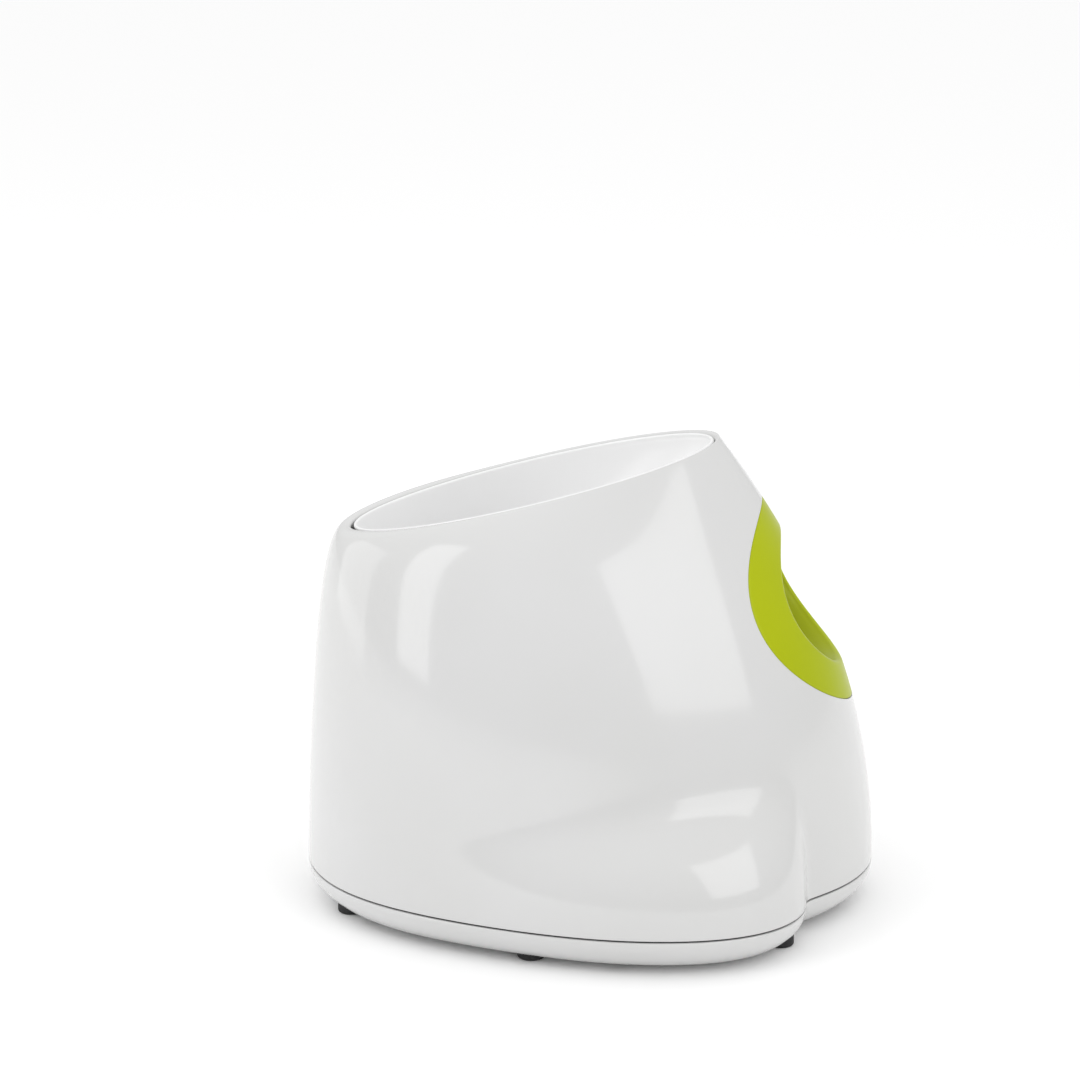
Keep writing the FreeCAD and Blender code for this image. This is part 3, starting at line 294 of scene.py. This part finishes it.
def clearLens(name):
    f = Finish(name)
    haze = f.noise(lens["hazeScale"], 3.0)
    f.set(Base_Color=f.tint(f.spread(haze, *noiseRange), srgb(*lens["clear"]), srgb(*lens["hazy"])),
          Roughness=f.spread(haze, *noiseRange, *lens["rough"]),
          Normal=f.bump(haze, lens["grain"], lens["depth"]))
    f.set(Transmission_Weight=lens["glass"], IOR=lens["ior"])
    return f.material


finishes = {
    "housing_white": glossyPlastic("housingWhite", whiteShell),
    "hopper_white": glossyPlastic("hopperWhite", hopperShell),
    "lime_plastic": glossyPlastic("limeGloss", limeShell),
    "button_lime": glossyPlastic("buttonLime", limeShell),
    "grey_plastic": satinPlastic("greySatin", greySatin),
    "clear_grey_plastic": satinPlastic("paleSatin", paleSatin),
    "black_plastic": satinPlastic("blackSatin", blackSatin),
    "foot_rubber": rubber("footRubber", footRubber),
    "tyre_rubber": rubber("tyreRubber", tyreRubber),
    "screw_steel": metal("screwSteel", screwSteel),
    "motor_steel": metal("motorSteel", motorSteel),
    "shaft_steel": metal("shaftSteel", shaftSteel),
    "contact_nickel": metal("contactNickel", contactNickel),
    "cell_jacket": cellSleeve("cellSleeve"),
    "board_green": boardMask("boardMask"),
    "lamp_clear": clearLens("lampClear"),
}
print("finishes", len(finishes))


# Construction nodes: each gets its finish and smooth faces, with its creases kept

dress = {"creaseDegrees": 32, "mergeDistance": 0.000002}
slotOfNode = {part["node"]: part["material_slot"] for part in frame["record"]["subparts"]}


def dressNode(name):
    node = nodes[name]
    node.data.materials.clear()
    node.data.materials.append(finishes[slotOfNode[name]])
    node.data.polygons.foreach_set("use_smooth", [True] * len(node.data.polygons))
    weld = node.modifiers.new("weld", "WELD")
    weld.merge_threshold = dress["mergeDistance"]
    split = node.modifiers.new("creases", "EDGE_SPLIT")
    split.split_angle = math.radians(dress["creaseDegrees"])


for nodeName in nodes:
    dressNode(nodeName)
print("construction nodes dressed", len(nodes))


# Mesh helpers, in millimetres

def placed(name, data):
    made = bpy.data.objects.new(name, data)
    bpy.context.scene.collection.objects.link(made)
    return made


def newPiece(name, mesh, slot, replaced=()):
    piece = placed(name, mesh)
    mesh.materials.append(finishes[slot])
    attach(piece, fixedBody)
    if replaced:
        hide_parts(*replaced)


# A closed surface through rows of points that run round the object; the last row meets the first
def closedGrid(name, rows, mergeDistance=0.0000005):
    count = rows[0].shape[0]
    points = np.concatenate(rows) * mm
    faces = []
    for r in range(len(rows)):
        low = r * count
        high = (r + 1) % len(rows) * count
        for c in range(count):
            d = (c + 1) % count
            faces.append((low + c, low + d, high + d, high + c))
    mesh = bpy.data.meshes.new(name)
    mesh.from_pydata(points.tolist(), [], faces)
    bm = bmesh.new()
    bm.from_mesh(mesh)
    bmesh.ops.remove_doubles(bm, verts=bm.verts, dist=mergeDistance)
    bmesh.ops.recalc_face_normals(bm, faces=bm.faces)
    bm.to_mesh(mesh)
    bm.free()
    mesh.polygons.foreach_set("use_smooth", [True] * len(mesh.polygons))
    mesh.update()
    return mesh


# A closed cylinder between two points
def cylinderMesh(name, radius, start, end, segments):
    mesh = bpy.data.meshes.new(name)
    bm = bmesh.new()
    way = Vector(end) - Vector(start)
    bmesh.ops.create_cone(bm, cap_ends=True, segments=segments, radius1=radius * mm, radius2=radius * mm,
                          depth=way.length * mm)
    turn = way.to_track_quat("Z", "Y").to_matrix().to_4x4()
    turn.translation = (Vector(start) + way / 2) * mm
    bm.transform(turn)
    bm.to_mesh(mesh)
    bm.free()
    return mesh


# A box between two corners, with its edges along one axis rounded
def roundedBoxMesh(name, low, high, corner, axis, segments=10):
    mesh = bpy.data.meshes.new(name)
    bm = bmesh.new()
    bmesh.ops.create_cube(bm, size=1.0)
    size = [(high[i] - low[i]) * mm for i in range(3)]
    middle = [(high[i] + low[i]) / 2 * mm for i in range(3)]
    for v in bm.verts:
        v.co = Vector([v.co[i] * size[i] + middle[i] for i in range(3)])
    edges = [e for e in bm.edges if abs((e.verts[0].co - e.verts[1].co)[axis]) > size[axis] * 0.9]
    bmesh.ops.bevel(bm, geom=edges, offset=corner * mm, segments=segments, profile=0.5, affect="EDGES")
    bm.to_mesh(mesh)
    bm.free()
    return mesh


carving = {"creaseDegrees": 50, "normalReach": 0.00002}


# The mesh with holes cut through it and the smooth normals of the uncut form
def carved(mesh, cutMeshes):
    whole = placed(mesh.name + "Whole", mesh)
    work = placed(mesh.name + "Work", mesh.copy())
    helpers = [whole, work]
    for index, cutMesh in enumerate(cutMeshes):
        helpers.append(placed(f"{mesh.name}Tool{index}", cutMesh))
        cut = work.modifiers.new(f"cut{index}", "BOOLEAN")
        cut.operation = "DIFFERENCE"
        cut.solver = "EXACT"
        cut.object = helpers[-1]
    split = work.modifiers.new("creases", "EDGE_SPLIT")
    split.split_angle = math.radians(carving["creaseDegrees"])
    normals = work.modifiers.new("normals", "DATA_TRANSFER")
    normals.object = whole
    normals.use_loop_data = True
    normals.data_types_loops = {"CUSTOM_NORMAL"}
    normals.loop_mapping = "POLYINTERP_NEAREST"
    normals.use_max_distance = True
    normals.max_distance = carving["normalReach"]
    graph = bpy.context.evaluated_depsgraph_get()
    result = bpy.data.meshes.new_from_object(work.evaluated_get(graph), preserve_all_data_layers=True,
                                             depsgraph=graph)
    result.name = mesh.name
    for helper in helpers:
        bpy.data.objects.remove(helper)
    result.materials.clear()
    return result


# The body's skin, as the construction has it; triples are values at the front, the side and the back

body = {
    "length": 253.5, "poleX": -8.75, "halfWidth": 91.0, "planPower": 2.1, "seamZ": 18.0, "wall": 2.5,
    "rimFrontX": 55.5, "rimBackX": -107.5, "rimFrontZ": 209.8, "rimBackZ": 169.5, "rimHalfWidth": 43.5,
    "rimEdge": 2.0, "profileRise": (2.04, 2.21, 1.46), "profileRound": (1.0, 0.69, 0.38),
    "legDepth": 29.0, "legNotch": 31.4, "legCrown": 68.8, "legFadeFrom": 24.8, "legFadeTo": 150.4,
    "legFrontHeight": 52.0, "legBackHeight": 30.0, "legPower": 3, "legTopFade": 4, "notchBlend": 3.0,
    "shelfPower": 2.5, "shelfBlend": 0.35, "edgeRound": 0.5, "edgeSteps": 5, "columns": 360,
}
barrel = {
    "tilt": math.radians(21.0), "muzzleX": 92.0, "muzzleZ": 136.5, "ringRadius": 49.0, "gap": 0.3,
    "ringDepth": 20.0, "boreRadius": 28.5, "tubeWall": 2.5, "breechToMuzzle": 130.7, "dropHeight": 36.0,
}
ahead = np.array([math.cos(barrel["tilt"]), 0.0, math.sin(barrel["tilt"])])
above = np.array([-math.sin(barrel["tilt"]), 0.0, math.cos(barrel["tilt"])])
across = np.array([0.0, 1.0, 0.0])
muzzle = np.array([barrel["muzzleX"], 0.0, barrel["muzzleZ"]])


def alongBarrel(s):
    return muzzle + ahead * s


def around(turn, front, side, back):
    c = np.cos(turn)
    return (front + back) / 2 * c * c + side * (1 - c * c) + (front - back) / 2 * c


def eased(share):
    share = np.clip(share, 0, 1)
    return share ** 3 * (10 - 15 * share + 6 * share * share)


def ovalRadius(turn, reach, halfWidth, power):
    alongX = np.abs(np.cos(turn) / reach) ** power
    alongY = np.abs(np.sin(turn) / halfWidth) ** power
    return (alongX + alongY) ** (-1 / power)


def legReach(turn):
    notch, crown = math.radians(body["legNotch"]), math.radians(body["legCrown"])
    start, end = math.radians(body["legFadeFrom"]), math.radians(body["legFadeTo"])
    rise = np.minimum((turn - notch) / (crown - notch), 1.0)
    full = body["legDepth"] * (1 - (1 - rise) ** body["legPower"])
    soft = (full + np.sqrt(full * full + body["notchBlend"] ** 2)) / 2
    return soft * (1 - eased((turn - start) / (end - start)))


def shelf(heightShare):
    blend = body["shelfBlend"]
    q = 1 - np.maximum(heightShare, 0.0) ** body["shelfPower"]
    return (q + np.sqrt(q * q + blend ** 2)) / (1 + math.sqrt(1 + blend ** 2))


# Points of the skin: angle from the front, level 0 at the seam and 1 at the rim
def skin(angle, level, inset=0.0):
    angle, level, inset = np.broadcast_arrays(np.asarray(angle, float), np.asarray(level, float),
                                              np.asarray(inset, float))
    turn = np.abs(angle)
    side = np.where(angle > 0, -1.0, 1.0)
    rise = np.clip(level, 0.0, 1.0)
    share = (1 - rise ** around(turn, *body["profileRise"])) ** around(turn, *body["profileRound"])
    reach = body["length"] / 2 - body["poleX"] * np.cos(turn)
    rimCentre = (body["rimFrontX"] + body["rimBackX"]) / 2
    rimHalf = (body["rimFrontX"] - body["rimBackX"]) / 2
    seamRadius = ovalRadius(turn, reach, body["halfWidth"], body["planPower"]) - inset
    rimRadius = ovalRadius(turn, rimHalf, body["rimHalfWidth"], 2.0) - inset
    radius = rimRadius + (seamRadius - rimRadius) * share
    centreX = rimCentre + (body["poleX"] - rimCentre) * share
    rimX = rimCentre + rimRadius * np.cos(turn)
    slope = (body["rimFrontZ"] - body["rimBackZ"]) / (body["rimFrontX"] - body["rimBackX"])
    rimZ = body["rimBackZ"] + (rimX - body["rimBackX"]) * slope - inset
    z = body["seamZ"] + (rimZ - body["seamZ"]) * level
    middle = (body["legFrontHeight"] + body["legBackHeight"]) / 2
    legHeight = around(turn, body["legFrontHeight"], middle, body["legBackHeight"]) - inset
    leg = legReach(turn) * shelf((z - body["seamZ"]) / legHeight) * (1 - rise ** body["legTopFade"])
    out = radius + leg
    return np.stack([centreX + out * np.cos(turn), side * out * np.sin(turn), z], -1)


def turnsRound(count):
    return -math.pi + 2 * math.pi * np.arange(count) / count


def quarter(steps):
    return np.linspace(0, math.pi / 2, steps)


# The outline at the seam, drawn in by an inset and laid at a height
def outlineRow(inset, z):
    row = skin(turnsRound(body["columns"]), 0.0, inset)
    row[:, 2] = z
    return row


# Housing

housing = {
    "outerRows": 130, "innerRows": 36, "levelPower": 2.2, "rimSteps": 8, "rimInside": (3.0, 8.0, 16.0),
    "innerTop": 0.88, "holeFrom": -22, "holeTo": 20, "holeSegments": 320, "behind": 4,
}
controls = {
    "y": 17.0, "halfWidth": 20.0, "bottomZ": 58.0, "topZ": 98.0, "corner": 8.0, "cornerSteps": 12,
    "inner": -103.0, "jackY": 17.0, "jackZ": 38.0, "jackRadius": 4.2, "jackSegments": 64,
}


# The shell's profile: up the outside, over the rim and down the inside
def housingRows():
    turns = turnsRound(body["columns"])
    r = body["edgeRound"]
    rows = []
    for t in quarter(body["edgeSteps"]):
        rows.append(outlineRow(r * (1 - math.sin(t)), body["seamZ"] + r * (1 - math.cos(t))))
    for stop in np.linspace(0, 1, housing["outerRows"]):
        row = skin(turns, 1 - (1 - stop) ** housing["levelPower"])
        if row[:, 2].min() > body["seamZ"] + r:
            rows.append(row)
    edge = body["rimEdge"]
    for t in quarter(housing["rimSteps"])[1:]:
        row = skin(turns, 1.0, edge * math.sin(t))
        row[:, 2] += edge * math.sin(t) - edge * (1 - math.cos(t))
        rows.append(row)
    for drop in housing["rimInside"]:
        row = skin(turns, 1.0, edge)
        row[:, 2] += edge - drop
        rows.append(row)
    for stop in np.linspace(housing["innerTop"], 0, housing["innerRows"]):
        rows.append(skin(turns, 1 - (1 - stop) ** housing["levelPower"], body["wall"]))
    return rows


def makeHousing():
    whole = closedGrid("housing", housingRows())
    back = -body["length"] / 2 - housing["behind"]
    gap = barrel["gap"]
    c = controls
    panelLow = (back, c["y"] - c["halfWidth"] - gap, c["bottomZ"] - gap)
    panelHigh = (c["inner"], c["y"] + c["halfWidth"] + gap, c["topZ"] + gap)
    jackBack, jackInner = (back, c["jackY"], c["jackZ"]), (c["inner"], c["jackY"], c["jackZ"])
    holeFrom, holeTo = alongBarrel(housing["holeFrom"]), alongBarrel(housing["holeTo"])
    cuts = [
        cylinderMesh("muzzleHole", barrel["ringRadius"] + gap, holeFrom, holeTo, housing["holeSegments"]),
        roundedBoxMesh("panelHole", panelLow, panelHigh, c["corner"] + gap, 0, c["cornerSteps"]),
        cylinderMesh("jackHole", c["jackRadius"], jackBack, jackInner, c["jackSegments"]),
    ]
    newPiece("housing", carved(whole, cuts), "housing_white", replaced=("upper_housing",))


# Muzzle ring

ring = {
    "edge": 0.6, "edgeSteps": 6, "sideShares": (0.6, 0.3), "sideSink": 1, "faceRows": 26,
    "boreFlare": 31.2, "lipRound": 3.2, "lipSteps": 12, "boreRows": 16, "borePower": 0.7, "backShare": 0.85,
    # the search for the skin over the muzzle: its first guess and its steps
    "guessRadius": 118.0, "guessLevel": 0.6, "guessRise": 260.0, "rounds": 14, "probe": 1e-4,
    "angleLimit": 0.2, "levelLimit": 0.1,
}


# How far ahead of the muzzle centre the skin lies over points of the muzzle's plane
def skinOverMuzzle(n, y):
    angle = -y / ring["guessRadius"]
    level = np.full_like(angle, ring["guessLevel"]) + n / ring["guessRise"]
    step = ring["probe"]
    for _ in range(ring["rounds"]):
        here = skin(angle, level) - muzzle
        byAngle = (skin(angle + step, level) - muzzle - here) / step
        byLevel = (skin(angle, level + step) - muzzle - here) / step
        missN, missY = here @ above - n, here @ across - y
        a, b = byAngle @ above, byLevel @ above
        c, d = byAngle @ across, byLevel @ across
        det = a * d - b * c
        angle = angle - np.clip((missN * d - missY * b) / det, -ring["angleLimit"], ring["angleLimit"])
        level = level - np.clip((missY * a - missN * c) / det, -ring["levelLimit"], ring["levelLimit"])
    return (skin(angle, level) - muzzle) @ ahead


# Points round the barrel, sunk below the skin; share 1 lies at the ring's flat back
def ringRow(radius, sink, share=0.0):
    turn = turnsRound(body["columns"])
    n, y = radius * np.cos(turn), radius * np.sin(turn)
    s = (skinOverMuzzle(n, y) - sink) * (1 - share) - barrel["ringDepth"] * share
    return muzzle + s[:, None] * ahead + n[:, None] * above + y[:, None] * across


def makeMuzzleRing():
    edge, lip, flare, outer = ring["edge"], ring["lipRound"], ring["boreFlare"], barrel["ringRadius"]
    rows = [ringRow(outer, 0, 1.0)]
    for share in ring["sideShares"]:
        rows.append(ringRow(outer, edge + ring["sideSink"], share))
    for t in quarter(ring["edgeSteps"]):
        rows.append(ringRow(outer - edge * (1 - math.cos(t)), edge * (1 - math.sin(t))))
    for radius in np.linspace(outer - edge, flare + lip, ring["faceRows"])[1:]:
        rows.append(ringRow(radius, 0.0))
    for t in quarter(ring["lipSteps"])[1:]:
        rows.append(ringRow(flare + lip * (1 - math.sin(t)), lip * (1 - math.cos(t))))
    for share in np.linspace(0, 1, ring["boreRows"])[1:]:
        radius = flare + (barrel["boreRadius"] - flare) * share ** ring["borePower"]
        rows.append(ringRow(radius, lip, share))
    rows.append(ringRow(outer * ring["backShare"], 0, 1.0))
    mesh = closedGrid("muzzleRing", rows)
    newPiece("muzzleRing", mesh, "lime_plastic", replaced=("muzzle_ring",))


# Tray, and the seam's dark line, which is painted shade

tray = {
    "bottomZ": 4.0, "floor": 2.5, "taper": 9.0, "taperPower": 2.2, "taperFrom": 0.06, "taperRows": 26,
    "floorInsets": (10.0, 14.0, 24.0, 40.0, 60.0), "groove": 0.8,
    "doorX": (-2.0, 72.0), "doorY": 49.0, "doorCorner": 2.0, "doorTop": 12,
    "bossAngles": (12.0, 78.0, 152.0), "bossInset": 14.0, "screwRecess": 3.2, "recessTop": 6.4,
    "recessSegments": 40,
}
# a thin dark strip in the seam groove: painted shade, not the tongue's own colour
seamLip = {"insetShare": 0.5, "reach": 1.5, "thickness": 1.0}


def trayCuts():
    doorLow = (tray["doorX"][0], -tray["doorY"], 0)
    doorHigh = (tray["doorX"][1], tray["doorY"], tray["doorTop"])
    cuts = [roundedBoxMesh("doorHole", doorLow, doorHigh, tray["doorCorner"], 2)]
    for index, degrees in enumerate(tray["bossAngles"]):
        for side in (-1, 1):
            x, y, _ = skin(math.radians(degrees) * side, 0.0, tray["bossInset"])
            cuts.append(cylinderMesh(f"screwHole{index}{side}", tray["screwRecess"], (x, y, 0),
                                     (x, y, tray["recessTop"]), tray["recessSegments"]))
    return cuts


def makeTray():
    top = body["seamZ"] - tray["groove"]
    drop = top - tray["bottomZ"]
    floorTop = tray["bottomZ"] + tray["floor"]
    r = body["edgeRound"]
    rows = []
    for t in quarter(body["edgeSteps"]):
        rows.append(outlineRow(r * (1 - math.sin(t)), top - r * (1 - math.cos(t))))
    for t in np.linspace(tray["taperFrom"], 1.0, tray["taperRows"]):
        rows.append(outlineRow(tray["taper"] * t ** tray["taperPower"], top - drop * t))
    for inset in tray["floorInsets"]:
        rows.append(outlineRow(inset, tray["bottomZ"]))
    for z in (tray["bottomZ"], floorTop):
        centre = outlineRow(0, z)
        centre[:, :2] = (body["poleX"], 0.0)
        rows.append(centre)
    for inset, z in ((tray["floorInsets"][-1], floorTop), (tray["taper"] + body["wall"], floorTop),
                     (body["wall"], top)):
        rows.append(outlineRow(inset, z))
    mesh = closedGrid("tray", rows)
    newPiece("tray", carved(mesh, trayCuts()), "housing_white", replaced=("base_tray",))


# The tray's tongue, made dark as painted shade: the dark line between the two shells
def makeSeamLip():
    inset = body["wall"] * seamLip["insetShare"]
    low = body["seamZ"] - tray["groove"] - seamLip["reach"]
    high = body["seamZ"] + seamLip["reach"]
    thick = seamLip["thickness"]
    rows = [outlineRow(inset, low), outlineRow(inset, high),
            outlineRow(inset + thick, high), outlineRow(inset + thick, low)]
    newPiece("seamLip", closedGrid("seamLip", rows), "black_plastic")


# Hopper

hopper = {
    "wall": 2.5, "insetShare": 0.6, "liftShare": 0.8, "liftRate": 12, "rows": 60, "columns": 240,
    "rowPower": 1.2, "funnelPower": 1.9, "lipRound": 0.9, "lipSteps": 8, "belowRim": 4,
    # radius over the bore and depth of each row of the throat's rounded edge
    "throatRows": ((0.6, 0.4), (0.0, 1.4), (0.0, 5.0)),
}


def throatHeight():
    return barrel["dropHeight"] + barrel["gap"] + barrel["tubeWall"]


# One ring of the funnel: t 0 at the mouth and 1 at the throat
def hopperRow(t, inset, lift):
    front = np.array([body["rimFrontX"], 0, body["rimFrontZ"]]) - muzzle
    back = np.array([body["rimBackX"], 0, body["rimBackZ"]]) - muzzle
    sFront, nFront, sBack, nBack = front @ ahead, front @ above, back @ ahead, back @ above
    slope = (nFront - nBack) / (sFront - sBack)
    throat = barrel["boreRadius"] + barrel["tubeWall"]
    halfS = (sFront - sBack) / 2 - body["wall"] - barrel["gap"]
    halfY = body["rimHalfWidth"] - body["wall"] - barrel["gap"]
    spread = 1 - t ** hopper["funnelPower"]
    middle = -barrel["breechToMuzzle"]
    centreS = middle + ((sFront + sBack) / 2 - middle) * spread
    top = (nFront + nBack) / 2 - hopper["belowRim"] * barrel["gap"]
    centreN = throatHeight() + (top - throatHeight()) * (1 - t) + lift
    turn = turnsRound(hopper["columns"])
    ds = (throat + (halfS - throat) * spread - inset) * np.cos(turn)
    dy = (throat + (halfY - throat) * spread - inset) * np.sin(turn)
    dn = centreN + slope * (1 - t) * ds
    return muzzle + np.outer(centreS + ds, ahead) + np.outer(dn, above) + np.outer(dy, across)


def makeHopper():
    inset, lift = hopper["wall"] * hopper["insetShare"], hopper["wall"] * hopper["liftShare"]
    stops = np.linspace(0, 1, hopper["rows"]) ** hopper["rowPower"]
    rows = [hopperRow(t, 0.0, 0.0) for t in stops[::-1]]
    for t in np.linspace(0, math.pi, hopper["lipSteps"])[1:-1]:
        rows.append(hopperRow(0.0, inset * (1 - math.cos(t)) / 2, hopper["lipRound"] * math.sin(t)))
    rows += [hopperRow(t, inset, lift * min(1.0, t * hopper["liftRate"])) for t in stops]
    throat = alongBarrel(-barrel["breechToMuzzle"])
    fromThroat = rows[-1] - throat
    flat = np.stack([fromThroat @ ahead, fromThroat @ across], -1)
    flat = flat / np.linalg.norm(flat, axis=1)[:, None]
    for extra, depth in hopper["throatRows"]:
        circle = flat * (barrel["boreRadius"] + extra)
        height = throatHeight() + lift - depth
        row = throat + np.outer(circle[:, 0], ahead) + np.outer(circle[:, 1], across)
        rows.append(row + above * height)
    mesh = closedGrid("funnel", rows)
    newPiece("funnel", mesh, "hopper_white", replaced=("hopper",))


print("housing")
makeHousing()
print("muzzle ring")
makeMuzzleRing()
print("tray")
makeTray()
makeSeamLip()
print("hopper")
makeHopper()


# Camera, at the photograph's place; target in millimetres, distance in metres

photo = {
    "azimuth": 0.0, "elevation": 18.0, "distance": 1.437, "target": (-8.75, 0.0, 100.0),
    "targetPixel": (571.5, 675.2), "pixelsPerMm": 2.245, "side": 1080, "sensor": 36.0,
}


def makeCamera():
    e, a = math.radians(photo["elevation"]), math.radians(photo["azimuth"])
    back = Vector((math.sin(a) * math.cos(e), -math.cos(a) * math.cos(e), math.sin(e)))
    right = Vector((math.cos(a), math.sin(a), 0.0))
    up = back.cross(right)
    target = Vector(photo["target"]) * mm
    place = target + back * photo["distance"]
    middle = photo["side"] / 2
    offRight = (photo["targetPixel"][0] - middle) / photo["pixelsPerMm"] * mm
    offDown = (photo["targetPixel"][1] - middle) / photo["pixelsPerMm"] * mm
    aim = target - right * offRight + up * offDown
    data = bpy.data.cameras.new("camera")
    focalPixels = photo["pixelsPerMm"] / mm * photo["distance"]
    data.lens = focalPixels / photo["side"] * photo["sensor"]
    data.sensor_width = photo["sensor"]
    camera = placed("camera", data)
    camera.location = place
    camera.rotation_mode = "QUATERNION"
    camera.rotation_quaternion = (aim - place).to_track_quat("-Z", "Y")
    bpy.context.scene.camera = camera


# Studio: a white floor, three soft boxes and a pale sky that the camera sees as plain white

studio = {
    "floorSize": 40.0, "floor": (253, 253, 253), "floorRough": 0.9,
    "sky": 0.50, "skyTop": 0.72, "skyFar": 0.16,
    # name, azimuth, elevation, distance, width, height and radiance of each soft box
    "boxes": (
        ("windowBox", -46.0, 27.0, 1.6, 1.05, 1.0, 1.7),
        ("leftStrip", -147.0, 28.0, 1.6, 0.5, 1.5, 1.9),
        ("rearBox", 168.0, 14.0, 1.8, 1.0, 1.2, 0.9),
    ),
    "aim": (0.0, -0.04, 0.1),
}


def makeFloor():
    half = studio["floorSize"] / 2
    corners = [(-half, -half, 0), (half, -half, 0), (half, half, 0), (-half, half, 0)]
    mesh = bpy.data.meshes.new("floor")
    mesh.from_pydata(corners, [], [(0, 1, 2, 3)])
    f = Finish("floorPaper")
    f.set(Base_Color=(*srgb(*studio["floor"]), 1.0), Roughness=studio["floorRough"], Specular_IOR_Level=0.0)
    mesh.materials.append(f.material)
    placed("floor", mesh)


def makeSoftBoxes():
    aim = Vector(studio["aim"])
    for name, azimuth, elevation, distance, width, height, radiance in studio["boxes"]:
        a, e = math.radians(azimuth), math.radians(elevation)
        place = aim + distance * Vector((math.cos(a) * math.cos(e), math.sin(a) * math.cos(e), math.sin(e)))
        data = bpy.data.lights.new(name, "AREA")
        data.shape = "RECTANGLE"
        data.size, data.size_y = width, height
        data.energy = radiance * math.pi * width * height
        lamp = placed(name, data)
        lamp.location = place
        lamp.rotation_mode = "QUATERNION"
        lamp.rotation_quaternion = (aim - place).to_track_quat("-Z", "Y")


# The sky is brighter overhead and behind the object
def makeSky():
    world = bpy.data.worlds.new("studio")
    bpy.context.scene.world = world
    world.use_nodes = True
    tree = world.node_tree
    background = tree.nodes["Background"]
    way = addNode(tree, "ShaderNodeTexCoord", "Generated")
    height = addNode(tree, "ShaderNodeSeparateXYZ", "Z", Vector=way).math("MAXIMUM", 0.0)
    far = addNode(tree, "ShaderNodeSeparateXYZ", "Y", Vector=way)
    soft = height * studio["skyTop"] + far * studio["skyFar"] + studio["sky"]
    seen = addNode(tree, "ShaderNodeLightPath", "Is Camera Ray")
    plug(tree, soft + seen * (1.0 - soft), background.inputs["Strength"])
    background.inputs["Color"].default_value = (1.0, 1.0, 1.0, 1.0)


makeCamera()
makeFloor()
makeSoftBoxes()
makeSky()
bpy.context.scene.view_settings.view_transform = "Standard"
print("camera and studio")
